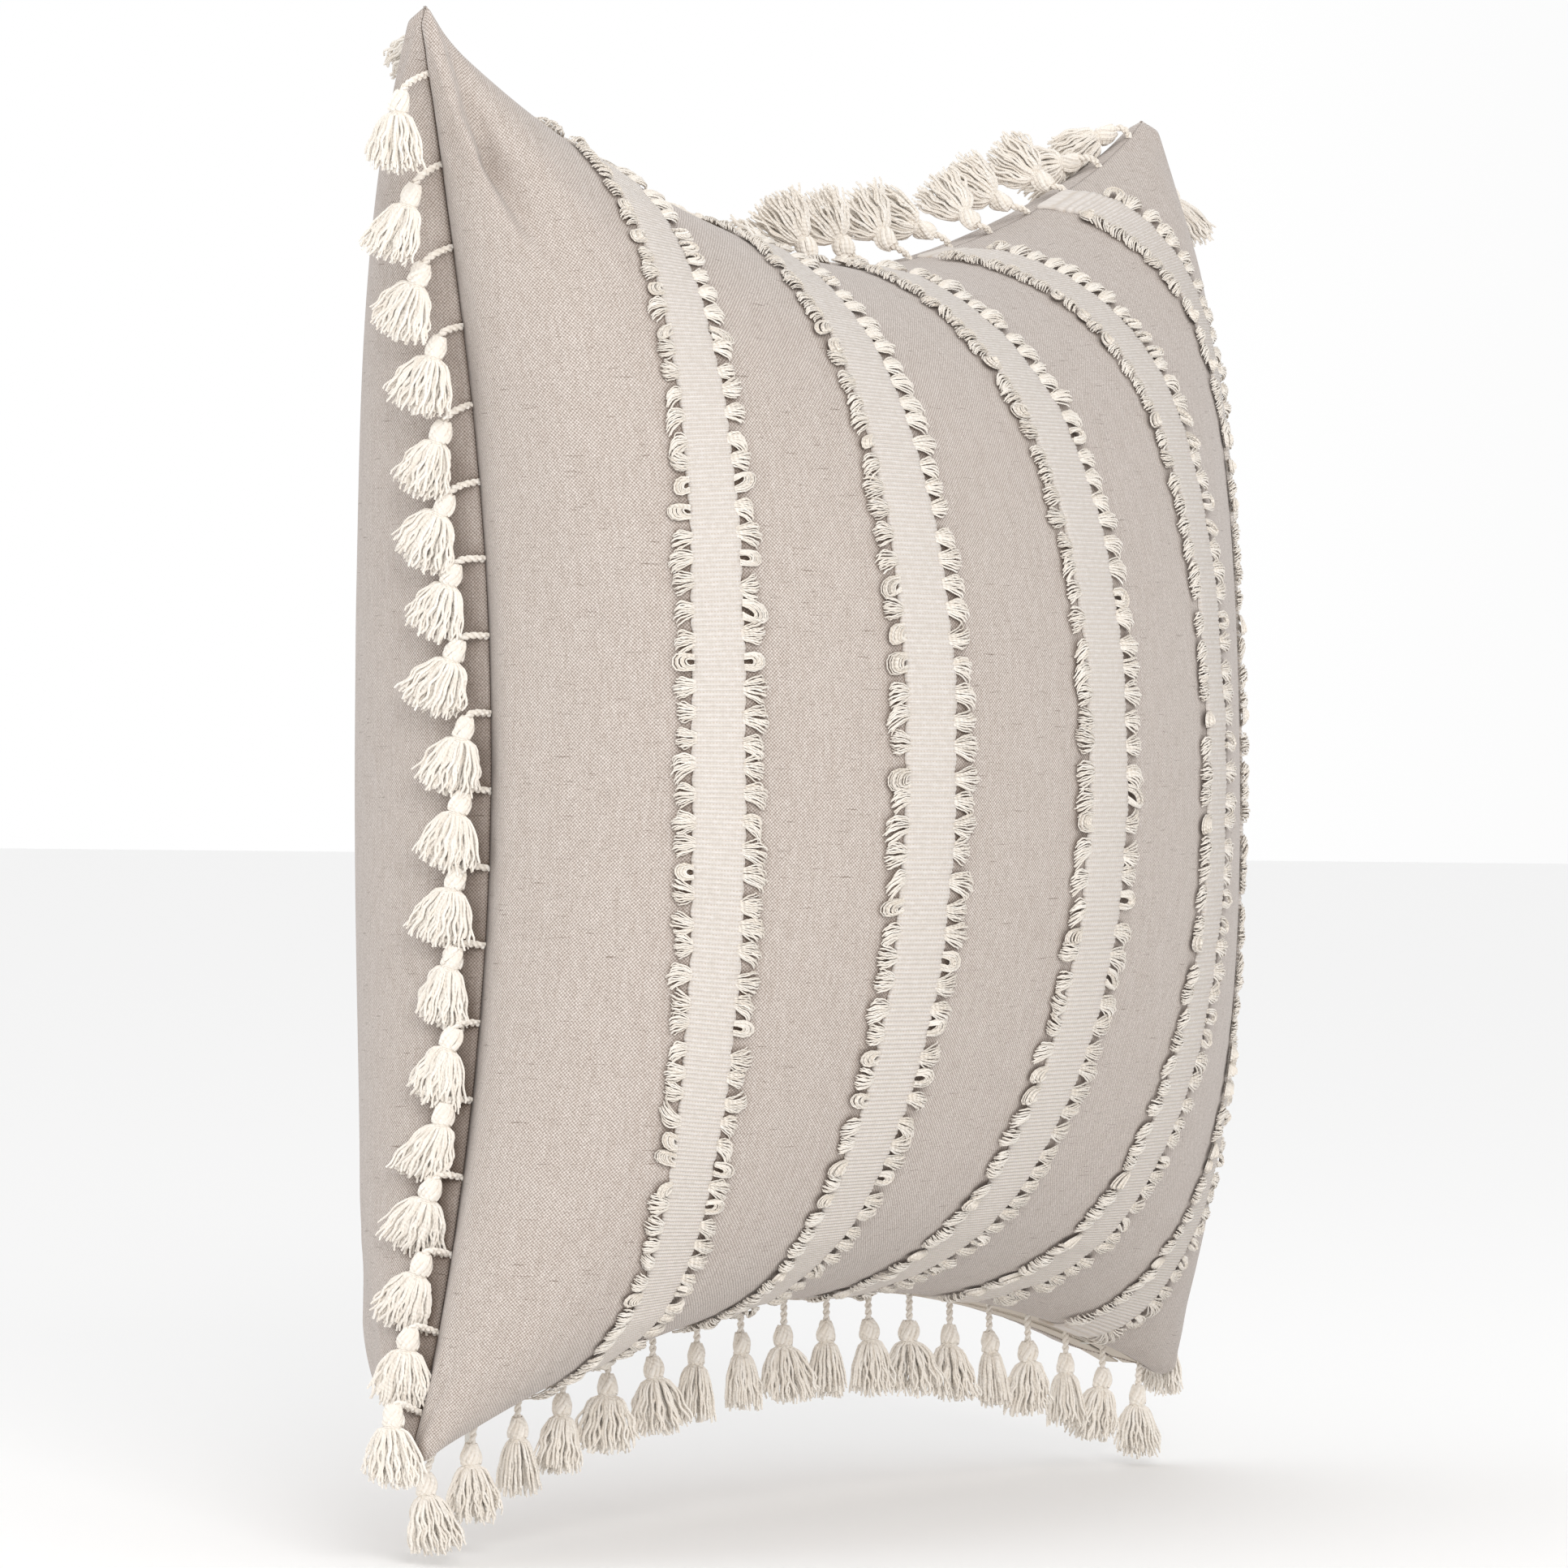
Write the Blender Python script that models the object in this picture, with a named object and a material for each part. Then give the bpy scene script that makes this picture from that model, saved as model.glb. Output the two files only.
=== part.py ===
"""Square throw pillow: a stuffed insert in a zipped cover with trim bands on its front and a tassel fringe in its seams.

Metres, +Z up. The pillow stands on its bottom seam, its front faces -Y and its seams lie in the plane y = 0.
"""

import math

import bmesh
import bpy
from mathutils import Matrix, Vector

# The stuffed cover
CORNER_SPACING = 0.480  # between neighbouring corner tips
SEAM_PULL_IN = 0.045  # how far the middle of each seam is drawn in by the stuffing
FRONT_CROWN = 0.1257  # the front's edge to its highest part
FULLNESS = 0.468  # power of the crown's section: 0.5 is an ellipse
ROUNDING = 0.80  # how strongly the cloth's own coordinate bunches towards the seams
BLEND = 1.29
REST_PATCH_DEPTH = 0.0030  # the top of the back crown that its own weight presses flat
COVER_CLOTH = 0.0012
SEAM_ALLOWANCE = 0.0030  # width of the turned edge that faces the other panel
SEAM_GAP = 0.0008  # seam plane to each panel's edge, with the fringe's heading tape between
TOUCH_GAP = 0.0003  # between pieces that touch

# The insert
INSERT_CLEAR = 0.001  # the fringe's heading tape to the insert
INSERT_CROWN_GAP = 0.0020
INSERT_CLOTH = 0.0010
INSERT_EDGE = 0.0025

# Trim bands on the front
BAND_COUNT = 5
BAND_WIDTH = 0.021
BAND_THICKNESS = 0.0010
BAND_END = 0.997  # where a band's end is caught by the seam, in the cloth's own coordinate
FLAT_SIDE = 0.508  # the cover's side before it is stuffed

# Tassel fringe
HEADING_THICKNESS = 0.0010
HEADING_INSIDE = 0.0080
HEADING_OUTSIDE = 0.0025
HEADING_PAST = 0.0030  # a heading tape's end beyond its last tassel
TASSEL_COUNT = 18  # along each seam
CORD_RADIUS = 0.0015
CORD_LENGTH = 0.0080
HEAD_RADIUS = 0.0045
HEAD_LENGTH = 0.0070
NECK_RADIUS = 0.0034
SKIRT_RADIUS = 0.0090
TASSEL_LENGTH = 0.0360
LYING_THICKNESS = 0.0035  # half the thickness of a tassel that lies on the cover
LYING_LIFT = 0.0042
SIDE_LEAN = math.radians(35)

# Zipper behind the bottom seam
ZIP_BEHIND = 0.0102  # seam plane to the zipper's middle
ZIP_TAPE_WIDTH = 0.0068
ZIP_TAPE_THICKNESS = 0.0006
COIL_RADIUS = 0.0009
COIL_SPLIT = 0.0007  # half the gap between the two coils
ZIP_TO_PANEL = 0.0004
SLIDER_LENGTH = 0.0080
SLIDER_WIDTH = 0.0062
SLIDER_PLATE = 0.0008
SLIDER_RIB = 0.0008
CROWN_BAR = 0.0010
CROWN_DROP = 0.0020  # the slider's underside to the middle of its bar
CROWN_SPAN = 0.0044
PULL_LENGTH = 0.0180
PULL_WIDTH = 0.0042
PULL_THICKNESS = 0.0008
PULL_RIM = 0.0008  # the metal round the pull's eye, under the slider
PULL_SIDE = 0.0010
EYE_LENGTH = 0.0050
SLIDER_REST_PITCHES = -7  # which space between two tassels the closed slider rests in
ZIP_HALF_PITCHES = 7.55
STOP_LENGTH = 0.0016

# Both faces reach equally far from the seam plane: the front's bands stand for what the back is pressed flat
BACK_CROWN = FRONT_CROWN + TOUCH_GAP + BAND_THICKNESS + REST_PATCH_DEPTH
HALF = CORNER_SPACING / 2
SEAM_RADIUS = (HALF**2 + SEAM_PULL_IN**2) / (2 * SEAM_PULL_IN)
SEAM_CENTRE = HALF - SEAM_PULL_IN + SEAM_RADIUS  # the pillow's middle to the centre of a seam's arc
CORNER_ANGLE = math.asin(HALF / SEAM_RADIUS)
# Two heading tapes meet at a corner where their inner edges just clear each other
HEADING_FROM_CORNER = HEADING_INSIDE / math.tan(math.pi / 4 - CORNER_ANGLE) + TOUCH_GAP
LAST_TASSEL_ANGLE = CORNER_ANGLE - (HEADING_FROM_CORNER + HEADING_PAST) / SEAM_RADIUS
PITCH_ANGLE = 2 * LAST_TASSEL_ANGLE / (TASSEL_COUNT - 1)
SLIDER_ANGLE = SLIDER_REST_PITCHES * PITCH_ANGLE
CORD_END = CORD_RADIUS * 0.6  # a hanging tassel turns about the middle of its cord's rounded end
HINGE_BELOW_SEAM = HEADING_OUTSIDE + 2 * TOUCH_GAP + CORD_END
LOWEST_HINGE = (SEAM_RADIUS - HINGE_BELOW_SEAM) * math.cos(LAST_TASSEL_ANGLE) - SEAM_CENTRE
CENTRE = Vector((0, 0, TASSEL_LENGTH - CORD_END - LOWEST_HINGE))
GRID = (-1, -0.997, -0.975, -0.90, -0.76, -0.58, -0.36, -0.11, 0, 0.11, 0.36, 0.58, 0.76, 0.90, 0.975, 0.997, 1)


def clear_scene():
    for thing in list(bpy.data.objects):
        bpy.data.objects.remove(thing)


def material(name, colour, roughness, metallic=0.0):
    made = bpy.data.materials.new(name)
    made.use_nodes = True
    shader = made.node_tree.nodes["Principled BSDF"]
    shader.inputs["Base Color"].default_value = (*colour, 1)
    shader.inputs["Roughness"].default_value = roughness
    shader.inputs["Metallic"].default_value = metallic
    made.diffuse_color = (*colour, 1)
    return made


def mesh_object(name, points, faces, made_of, origin=CENTRE, smooth=True):
    """An object whose points are given from the origin of the object, with its faces turned outwards."""
    mesh = bpy.data.meshes.new(name)
    mesh.from_pydata([tuple(p) for p in points], [], faces)
    form = bmesh.new()
    form.from_mesh(mesh)
    bmesh.ops.triangulate(form, faces=form.faces)
    bmesh.ops.recalc_face_normals(form, faces=form.faces)
    form.to_mesh(mesh)
    form.free()
    for face in mesh.polygons:
        face.use_smooth = smooth
    mesh.materials.append(made_of)
    thing = bpy.data.objects.new(name, mesh)
    thing.location = origin
    bpy.context.scene.collection.objects.link(thing)
    return thing


# ---- the stuffed shape


def arc_radius(half):
    """Radius of a seam's arc: through two corners, and drawn in by the same amount at its middle."""
    return (half**2 + SEAM_PULL_IN**2) / (2 * SEAM_PULL_IN)


def bow(along, half):
    """How far a seam is drawn in at a distance from its middle."""
    radius = arc_radius(half)
    return SEAM_PULL_IN - radius + math.sqrt(radius**2 - along**2)


def eased(along, across):
    """A place in the flat cloth to a place on the stuffed pillow, both -1 to 1."""
    weight = max(1 - across**2, 0) ** BLEND
    rounded = (1 - ROUNDING) * along + ROUNDING * math.sin(math.pi * along / 2)
    return (1 - weight) * along + weight * rounded


def stuffed(across, up, half, crown):
    """The point of a panel at a place in its flat cloth, as (x, height over the seam plane, z)."""
    u = eased(across, up)
    v = eased(up, across)
    height = crown * max((1 - u * u) * (1 - v * v), 0) ** FULLNESS
    return Vector((u * (half - bow(v * half, half)), height, v * (half - bow(u * half, half))))


def panel_side(facing, lift=0.0, flatten=0.0, part_for_zip=0.0):
    """A function of (across, up, half, crown) that gives a panel's points; facing is -1 for the front, 1 for the back."""

    def place(across, up, half, crown):
        point = stuffed(across, up, half, crown)
        aside = part_for_zip * zip_parting(across) * ((1 - eased(up, across)) / 2) ** 8
        height = min(point.y + aside, crown - flatten)
        return Vector((point.x, facing * (lift + height), point.z))

    return place


def zip_parting(across):
    """1 along the zipper, easing to 0 before the corners."""
    ease = min(max((0.985 - abs(across)) / 0.085, 0), 1)
    return ease * ease * (3 - 2 * ease)


def shell(name, place, across_lines, up_lines, outer, inner, made_of):
    """A cloth shell between two stuffed surfaces, each given as (half, crown), closed by the flat edge at its seam."""
    columns = len(across_lines)
    rows = len(up_lines)
    points = [place(a, u, *size) for size in (outer, inner) for u in up_lines for a in across_lines]
    inside = columns * rows
    faces = []
    for row in range(rows - 1):
        for column in range(columns - 1):
            first = row * columns + column
            quad = (first, first + 1, first + 1 + columns, first + columns)
            faces += [(quad[0], quad[1], quad[2]), (quad[0], quad[2], quad[3])]
            faces += [(inside + quad[0], inside + quad[2], inside + quad[1])]
            faces += [(inside + quad[0], inside + quad[3], inside + quad[2])]
    rim = list(range(columns))
    rim += [row * columns + columns - 1 for row in range(1, rows)]
    rim += [(rows - 1) * columns + column for column in range(columns - 2, -1, -1)]
    rim += [row * columns for row in range(rows - 2, 0, -1)]
    for here, after in zip(rim, rim[1:] + rim[:1]):
        faces += [(here, inside + here, inside + after), (here, inside + after, after)]
    return mesh_object(name, points, faces, made_of)


def solid_stuffing(name, half, front_crown, back_crown, made_of):
    """A closed solid of two stuffed surfaces that meet at their seam."""
    count = len(GRID)
    points = []
    index = {}
    for facing, crown in ((-1, front_crown), (1, back_crown)):
        for row, up in enumerate(GRID):
            for column, across in enumerate(GRID):
                at_seam = row in (0, count - 1) or column in (0, count - 1)
                if at_seam and facing == 1:
                    index[facing, row, column] = index[-1, row, column]
                    continue
                point = stuffed(across, up, half, crown)
                index[facing, row, column] = len(points)
                points.append(Vector((point.x, facing * point.y, point.z)))
    faces = []
    for facing in (-1, 1):
        for row in range(count - 1):
            for column in range(count - 1):
                quad = [index[facing, row + r, column + c] for r, c in ((0, 0), (0, 1), (1, 1), (1, 0))]
                for triangle in ((quad[0], quad[1], quad[2]), (quad[0], quad[2], quad[3])):
                    faces.append(triangle if facing == -1 else triangle[::-1])
    return mesh_object(name, points, faces, made_of)


# ---- the seams, as places on their arcs


def seam_frame(angle):
    """A place on the bottom seam's arc: the point, the way out of the pillow and the way along the seam towards +X.

    The angle is measured at the arc's centre from the seam's middle.
    """
    out = Vector((-math.sin(angle), 0, -math.cos(angle)))
    along = Vector((math.cos(angle), 0, -math.sin(angle)))
    return Vector((0, 0, -SEAM_CENTRE)) - out * SEAM_RADIUS, out, along


def arc_band(half_angle, steps, y_low, y_high, inside, outside):
    """Points and faces of a flat band along the bottom seam's arc, inside and outside measured from the seam."""
    points = []
    for step in range(steps + 1):
        angle = half_angle * (2 * step / steps - 1)
        point, out, _ = seam_frame(angle)
        for y, distance in ((y_low, -inside), (y_high, -inside), (y_high, outside), (y_low, outside)):
            points.append(point + out * distance + Vector((0, y, 0)))
    return points, tube_faces(steps + 1, 4)


def tube_faces(rings, sides):
    faces = [tuple(range(sides)), tuple(range((rings - 1) * sides, rings * sides))[::-1]]
    for ring in range(rings - 1):
        for side in range(sides):
            after = (side + 1) % sides
            first = ring * sides
            faces.append((first + side, first + sides + side, first + sides + after, first + after))
    return faces


def tassel_rings(root, down, thick_way, lying):
    """Rings of a tassel from its cord's end: a cord, a bound head, a neck and a spreading skirt."""
    wide_way = down.cross(thick_way).normalized()
    thin = LYING_THICKNESS if lying else HEAD_RADIUS
    profile = [
        (0.0, CORD_RADIUS * 0.55, CORD_RADIUS * 0.55),
        (CORD_END, CORD_RADIUS, CORD_RADIUS),
        (CORD_LENGTH, CORD_RADIUS, CORD_RADIUS),
        (CORD_LENGTH + HEAD_LENGTH * 0.4, HEAD_RADIUS, thin),
        (CORD_LENGTH + HEAD_LENGTH, NECK_RADIUS, NECK_RADIUS),
        (TASSEL_LENGTH, SKIRT_RADIUS, thin),
    ]
    points = []
    for distance, wide, thick in profile:
        lift = LYING_LIFT * min(distance / CORD_LENGTH, 1) if lying else 0.0
        middle = root + down * distance + thick_way * lift
        for corner in range(6):
            turn = math.tau * corner / 6
            points.append(middle + wide_way * wide * math.cos(turn) + thick_way * thick * math.sin(turn))
    return points, tube_faces(len(profile), 6)


def tassel_angles():
    return [PITCH_ANGLE * number - LAST_TASSEL_ANGLE for number in range(TASSEL_COUNT)]


def add_panels(cloth):
    half_band = BAND_WIDTH / FLAT_SIDE
    across = [-1, -0.997, -0.975, -0.90, -0.80, 0.80, 0.90, 0.975, 0.997, 1]
    across += [band_middle(number) + side * half_band for number in range(BAND_COUNT) for side in (-1, 1)]
    across += [band_middle(number + 0.5) for number in range(BAND_COUNT - 1)]
    across.sort()
    outer = (HALF, FRONT_CROWN)
    inner = (HALF - SEAM_ALLOWANCE, FRONT_CROWN - COVER_CLOTH)
    shell("front_panel", panel_side(-1, SEAM_GAP), across, GRID, outer, inner, cloth)
    outer = (HALF, BACK_CROWN)
    inner = (HALF - SEAM_ALLOWANCE, BACK_CROWN - COVER_CLOTH)
    parting = ZIP_BEHIND + COIL_SPLIT + 2 * COIL_RADIUS + ZIP_TAPE_WIDTH + ZIP_TO_PANEL - SEAM_GAP
    flattened = panel_side(1, SEAM_GAP, REST_PATCH_DEPTH, parting)
    shell("back_panel", flattened, GRID, GRID, outer, inner, cloth)


def band_middle(number):
    return 2 * (number + 1) / (BAND_COUNT + 1) - 1


def add_bands(cotton):
    """Each band copies the front panel's facets under it, lifted by the touching gap, so the two never cut."""
    half_band = BAND_WIDTH / FLAT_SIDE
    place = panel_side(-1, SEAM_GAP)
    rows = [up for up in GRID if abs(up) <= BAND_END]
    for number in range(BAND_COUNT):
        middle = band_middle(number)
        edges = (middle - half_band, middle + half_band)
        points = []
        for up in rows:
            under = [place(across, up, HALF, FRONT_CROWN) for across in edges]
            normals = [surface_normal(place, across, up) for across in edges]
            low = TOUCH_GAP
            high = TOUCH_GAP + BAND_THICKNESS
            points += [under[0] + normals[0] * low, under[1] + normals[1] * low]
            points += [under[1] + normals[1] * high, under[0] + normals[0] * high]
        faces = [(0, 1, 2, 3), tuple(range(len(points) - 4, len(points)))[::-1]]
        for row in range(len(rows) - 1):
            first = row * 4
            faces += [(first, first + 1, first + 5), (first, first + 5, first + 4)]
            faces += [(first + 3, first + 2, first + 6), (first + 3, first + 6, first + 7)]
            faces += [(first, first + 3, first + 7, first + 4), (first + 1, first + 2, first + 6, first + 5)]
        mesh_object(f"trim_band_{number + 1}", points, faces, cotton)


def surface_normal(place, across, up):
    """Outward normal of the front panel at a place in its cloth."""
    step = 0.01
    sideways = place(across + step, up, HALF, FRONT_CROWN) - place(across - step, up, HALF, FRONT_CROWN)
    low = max(up - step, -1)
    high = min(up + step, 1)
    upwards = place(across, high, HALF, FRONT_CROWN) - place(across, low, HALF, FRONT_CROWN)
    return sideways.cross(upwards).normalized()


def add_insert(casing, fibre):
    corner_squeeze = math.cos(CORNER_ANGLE) - math.sin(CORNER_ANGLE)
    half = HALF - (HEADING_INSIDE + INSERT_CLEAR) / corner_squeeze
    front = FRONT_CROWN - COVER_CLOTH - INSERT_CROWN_GAP
    back = BACK_CROWN - COVER_CLOTH - INSERT_CROWN_GAP
    lift = TOUCH_GAP / 2
    for name, facing, crown in (("insert_front_casing", -1, front), ("insert_back_casing", 1, back)):
        flatten = REST_PATCH_DEPTH if facing == 1 else 0.0
        inner = (half - INSERT_EDGE, crown - INSERT_CLOTH)
        shell(name, panel_side(facing, lift, flatten), GRID, GRID, (half, crown), inner, casing)
    spare = INSERT_CLOTH + REST_PATCH_DEPTH + 3 * TOUCH_GAP
    solid_stuffing("insert_fibre_fill", half - INSERT_EDGE - 4 * TOUCH_GAP, front - spare, back - spare, fibre)


def add_fringes(cotton):
    half_angle = LAST_TASSEL_ANGLE + HEADING_PAST / SEAM_RADIUS
    half_thick = HEADING_THICKNESS / 2
    band = arc_band(half_angle, 24, -half_thick, half_thick, HEADING_INSIDE, HEADING_OUTSIDE)
    mesh_object("fringe_bottom_heading", *band, cotton)
    back = Vector((0, 1, 0))
    for side, quarter in (("left", 1), ("top", 2), ("right", 3)):
        heading = mesh_object(f"fringe_{side}", *band, cotton)
        heading.rotation_euler.y = quarter * math.pi / 2
        points = []
        faces = []
        for angle in tassel_angles():
            root, out, along = seam_frame(angle)
            down = back
            if side != "top":
                along = along if side == "left" else -along
                down = (along * math.cos(SIDE_LEAN) + back * math.sin(SIDE_LEAN)).normalized()
            more, their_faces = tassel_rings(root + out * (CORD_RADIUS + 2 * TOUCH_GAP), down, out, True)
            faces += [tuple(len(points) + corner for corner in face) for face in their_faces]
            points += more
        tassels = mesh_object(f"fringe_{side}_tassels", points, faces, cotton)
        tassels.rotation_euler.y = quarter * math.pi / 2
        tassels.hide_render = True
        tassels.display_type = "WIRE"
        joined = heading.modifiers.new("tassels", "BOOLEAN")
        joined.operation = "UNION"
        joined.object = tassels
    for number, angle in enumerate(tassel_angles()):
        root, out, _ = seam_frame(angle)
        points, faces = tassel_rings(Vector((0, 0, CORD_END)), Vector((0, 0, -1)), back, False)
        hinge_at = CENTRE + root + out * HINGE_BELOW_SEAM
        mesh_object(f"bottom_tassel_{number + 1:02d}", points, faces, cotton, hinge_at)


def add_zipper(tape, zinc):
    half_angle = ZIP_HALF_PITCHES * PITCH_ANGLE
    coil_middle = COIL_SPLIT + COIL_RADIUS
    tape_from = COIL_SPLIT + 1.5 * COIL_RADIUS
    tape_to = tape_from + ZIP_TAPE_WIDTH
    for name, facing in (("zipper_front_half", -1), ("zipper_back_half", 1)):
        section = [
            (tape_to, ZIP_TAPE_THICKNESS),
            (tape_to, 0.0),
            (coil_middle + COIL_RADIUS * 0.5, 0.0),
            (coil_middle + COIL_RADIUS * 0.5, -COIL_RADIUS * 0.4),
            (COIL_SPLIT, -COIL_RADIUS * 0.4),
            (COIL_SPLIT, ZIP_TAPE_THICKNESS + COIL_RADIUS * 0.6),
            (coil_middle + COIL_RADIUS, ZIP_TAPE_THICKNESS + COIL_RADIUS * 0.6),
            (coil_middle + COIL_RADIUS, ZIP_TAPE_THICKNESS),
        ]
        points = []
        steps = 20
        for step in range(steps + 1):
            point, out, _ = seam_frame(half_angle * (2 * step / steps - 1))
            for sideways, inside in section:
                points.append(point - out * inside + Vector((0, ZIP_BEHIND + facing * sideways, 0)))
        mesh_object(name, points, tube_faces(steps + 1, len(section)), tape, smooth=False)
    top_stop_angle = half_angle + (TOUCH_GAP + STOP_LENGTH / 2) / SEAM_RADIUS
    add_box("zipper_bottom_stop", top_stop_angle, 0.0, 2 * tape_from, STOP_LENGTH, zinc)
    for name, facing in (("zipper_top_stop_front", -1), ("zipper_top_stop_back", 1)):
        add_box(name, -top_stop_angle, facing * (COIL_SPLIT + coil_middle), 2 * COIL_RADIUS, STOP_LENGTH, zinc)


def add_box(name, angle, sideways, width, length, made_of):
    """A small clip at a place on the zipper's arc."""
    point, out, along = seam_frame(angle)
    middle = point - out * (ZIP_TAPE_THICKNESS / 2) + Vector((0, ZIP_BEHIND + sideways, 0))
    form = bmesh.new()
    bmesh.ops.create_cube(form, size=1, matrix=Matrix.Diagonal((length, width, 2 * COIL_RADIUS, 1)))
    thing = bmesh_object(name, form, made_of, CENTRE + middle, bevel=0.0002)
    thing.rotation_euler.y = angle


def bmesh_object(name, form, made_of, location, bevel=0.0):
    mesh = bpy.data.meshes.new(name)
    bmesh.ops.recalc_face_normals(form, faces=form.faces)
    form.to_mesh(mesh)
    form.free()
    mesh.materials.append(made_of)
    thing = bpy.data.objects.new(name, mesh)
    thing.location = location
    bpy.context.scene.collection.objects.link(thing)
    if bevel:
        rounded = thing.modifiers.new("rounded", "BEVEL")
        rounded.width = bevel
        rounded.segments = 1
    return thing


def add_slider(zinc):
    """The slider turns about the centre of the zipper's arc."""
    above = ZIP_TAPE_THICKNESS + COIL_RADIUS * 0.6 + TOUCH_GAP
    below = -COIL_RADIUS * 0.4 - TOUCH_GAP
    arc_middle = Vector((0, ZIP_BEHIND, -SEAM_CENTRE))
    parts = [
        (SLIDER_LENGTH, SLIDER_WIDTH, SLIDER_PLATE, above + SLIDER_PLATE / 2, 0.0),
        (SLIDER_LENGTH, SLIDER_WIDTH, SLIDER_PLATE, below - SLIDER_PLATE / 2, 0.0),
        (SLIDER_LENGTH * 0.35, SLIDER_RIB, above - below + SLIDER_PLATE, (above + below) / 2, SLIDER_LENGTH * 0.3),
    ]
    bar_middle = below - SLIDER_PLATE - CROWN_DROP
    parts.append((CROWN_SPAN + 2 * CROWN_BAR, CROWN_BAR, CROWN_BAR, bar_middle, 0.0))
    for end in (-1, 1):
        post = CROWN_DROP + CROWN_BAR
        parts.append((CROWN_BAR, CROWN_BAR, post, bar_middle + post / 2 - CROWN_BAR / 2, end * (CROWN_SPAN + CROWN_BAR) / 2))
    slider = None
    for number, (length, width, height, middle, along) in enumerate(parts):
        form = bmesh.new()
        placed = Matrix.Translation((along, 0, SEAM_RADIUS + middle)) @ Matrix.Diagonal((length, width, height, 1))
        bmesh.ops.create_cube(form, size=1, matrix=placed)
        name = "zipper_slider" if number == 0 else f"slider_piece_{number}"
        thing = bmesh_object(name, form, zinc, CENTRE + arc_middle)
        thing.rotation_euler.y = SLIDER_ANGLE
        if number == 0:
            slider = thing
            continue
        thing.hide_render = True
        thing.display_type = "WIRE"
        joined = slider.modifiers.new(f"piece {number}", "BOOLEAN")
        joined.operation = "UNION"
        joined.object = thing
    rim_middle = bar_middle + CROWN_BAR / 2 + TOUCH_GAP + PULL_RIM / 2
    add_pull(zinc, arc_middle, SEAM_RADIUS + rim_middle)


def add_pull(zinc, arc_middle, rim_radius):
    """A flat tab that hangs by the rim of its eye, which sits on the slider's bar and turns there."""
    turn = Matrix.Rotation(SLIDER_ANGLE, 3, "Y")
    hinge_at = CENTRE + arc_middle + turn @ Vector((0, 0, rim_radius))
    outer = rectangle(PULL_WIDTH / 2, -PULL_LENGTH, PULL_RIM / 2)
    inner = rectangle(PULL_WIDTH / 2 - PULL_SIDE, -PULL_RIM / 2 - EYE_LENGTH, -PULL_RIM / 2)
    points = [Vector((x, y, z)) for x in (-PULL_THICKNESS / 2, PULL_THICKNESS / 2) for y, z in outer + inner]
    faces = []
    for corner in range(4):
        after = (corner + 1) % 4
        faces.append((corner, after, 4 + after, 4 + corner))
        faces.append((8 + corner, 12 + corner, 12 + after, 8 + after))
        faces.append((corner, 8 + corner, 8 + after, after))
        faces.append((4 + corner, 4 + after, 12 + after, 12 + corner))
    mesh_object("zipper_pull", points, faces, zinc, hinge_at, smooth=False)


def rectangle(half_width, low, high):
    return [(-half_width, high), (half_width, high), (half_width, low), (-half_width, low)]


def main():
    clear_scene()
    linen = material("natural linen-look cloth", (0.63, 0.53, 0.46), 0.9)
    trim = material("ivory woven cotton trim", (0.82, 0.77, 0.70), 0.95)
    fringe = material("ivory cotton fringe yarn", (0.84, 0.78, 0.69), 0.95)
    casing = material("white insert casing", (0.88, 0.88, 0.87), 0.9)
    fibre = material("white polyester fibre", (0.93, 0.93, 0.92), 0.95)
    tape = material("beige zipper tape and coil", (0.58, 0.50, 0.43), 0.7)
    zinc = material("nickel-plated zinc", (0.62, 0.61, 0.58), 0.35, 1.0)
    add_panels(linen)
    add_bands(trim)
    add_insert(casing, fibre)
    add_fringes(fringe)
    add_zipper(tape, zinc)
    add_slider(zinc)


main()
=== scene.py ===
"""Looks of a square throw pillow: a stuffed linen-look cover with ivory trim bands and a tassel fringe in
its seams."""
import math

import bmesh
import bpy
import numpy as np
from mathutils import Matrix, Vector


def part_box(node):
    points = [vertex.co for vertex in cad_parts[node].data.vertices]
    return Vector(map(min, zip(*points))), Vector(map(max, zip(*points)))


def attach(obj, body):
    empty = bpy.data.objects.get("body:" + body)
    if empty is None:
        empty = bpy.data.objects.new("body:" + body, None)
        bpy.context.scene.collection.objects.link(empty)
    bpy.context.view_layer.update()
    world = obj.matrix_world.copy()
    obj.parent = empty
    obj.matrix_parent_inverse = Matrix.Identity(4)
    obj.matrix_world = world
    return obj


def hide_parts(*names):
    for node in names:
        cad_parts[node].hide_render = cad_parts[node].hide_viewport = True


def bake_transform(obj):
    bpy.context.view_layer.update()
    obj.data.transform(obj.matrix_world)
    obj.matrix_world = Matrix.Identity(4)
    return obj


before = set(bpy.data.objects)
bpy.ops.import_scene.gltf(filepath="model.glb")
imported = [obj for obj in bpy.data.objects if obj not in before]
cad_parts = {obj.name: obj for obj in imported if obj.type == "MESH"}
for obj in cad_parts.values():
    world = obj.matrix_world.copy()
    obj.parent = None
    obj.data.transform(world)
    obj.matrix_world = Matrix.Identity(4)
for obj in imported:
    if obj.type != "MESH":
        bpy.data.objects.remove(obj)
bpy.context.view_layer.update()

# ---- Cover, front and back -----------------------------------------------------------------------
# Two squares of plain-woven cotton and linen mix, cut on the thread and sewn together inside out, then
# turned. The stuffing crowns them, draws the seams in between the corners, and leaves small puckers along
# every seam.

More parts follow.
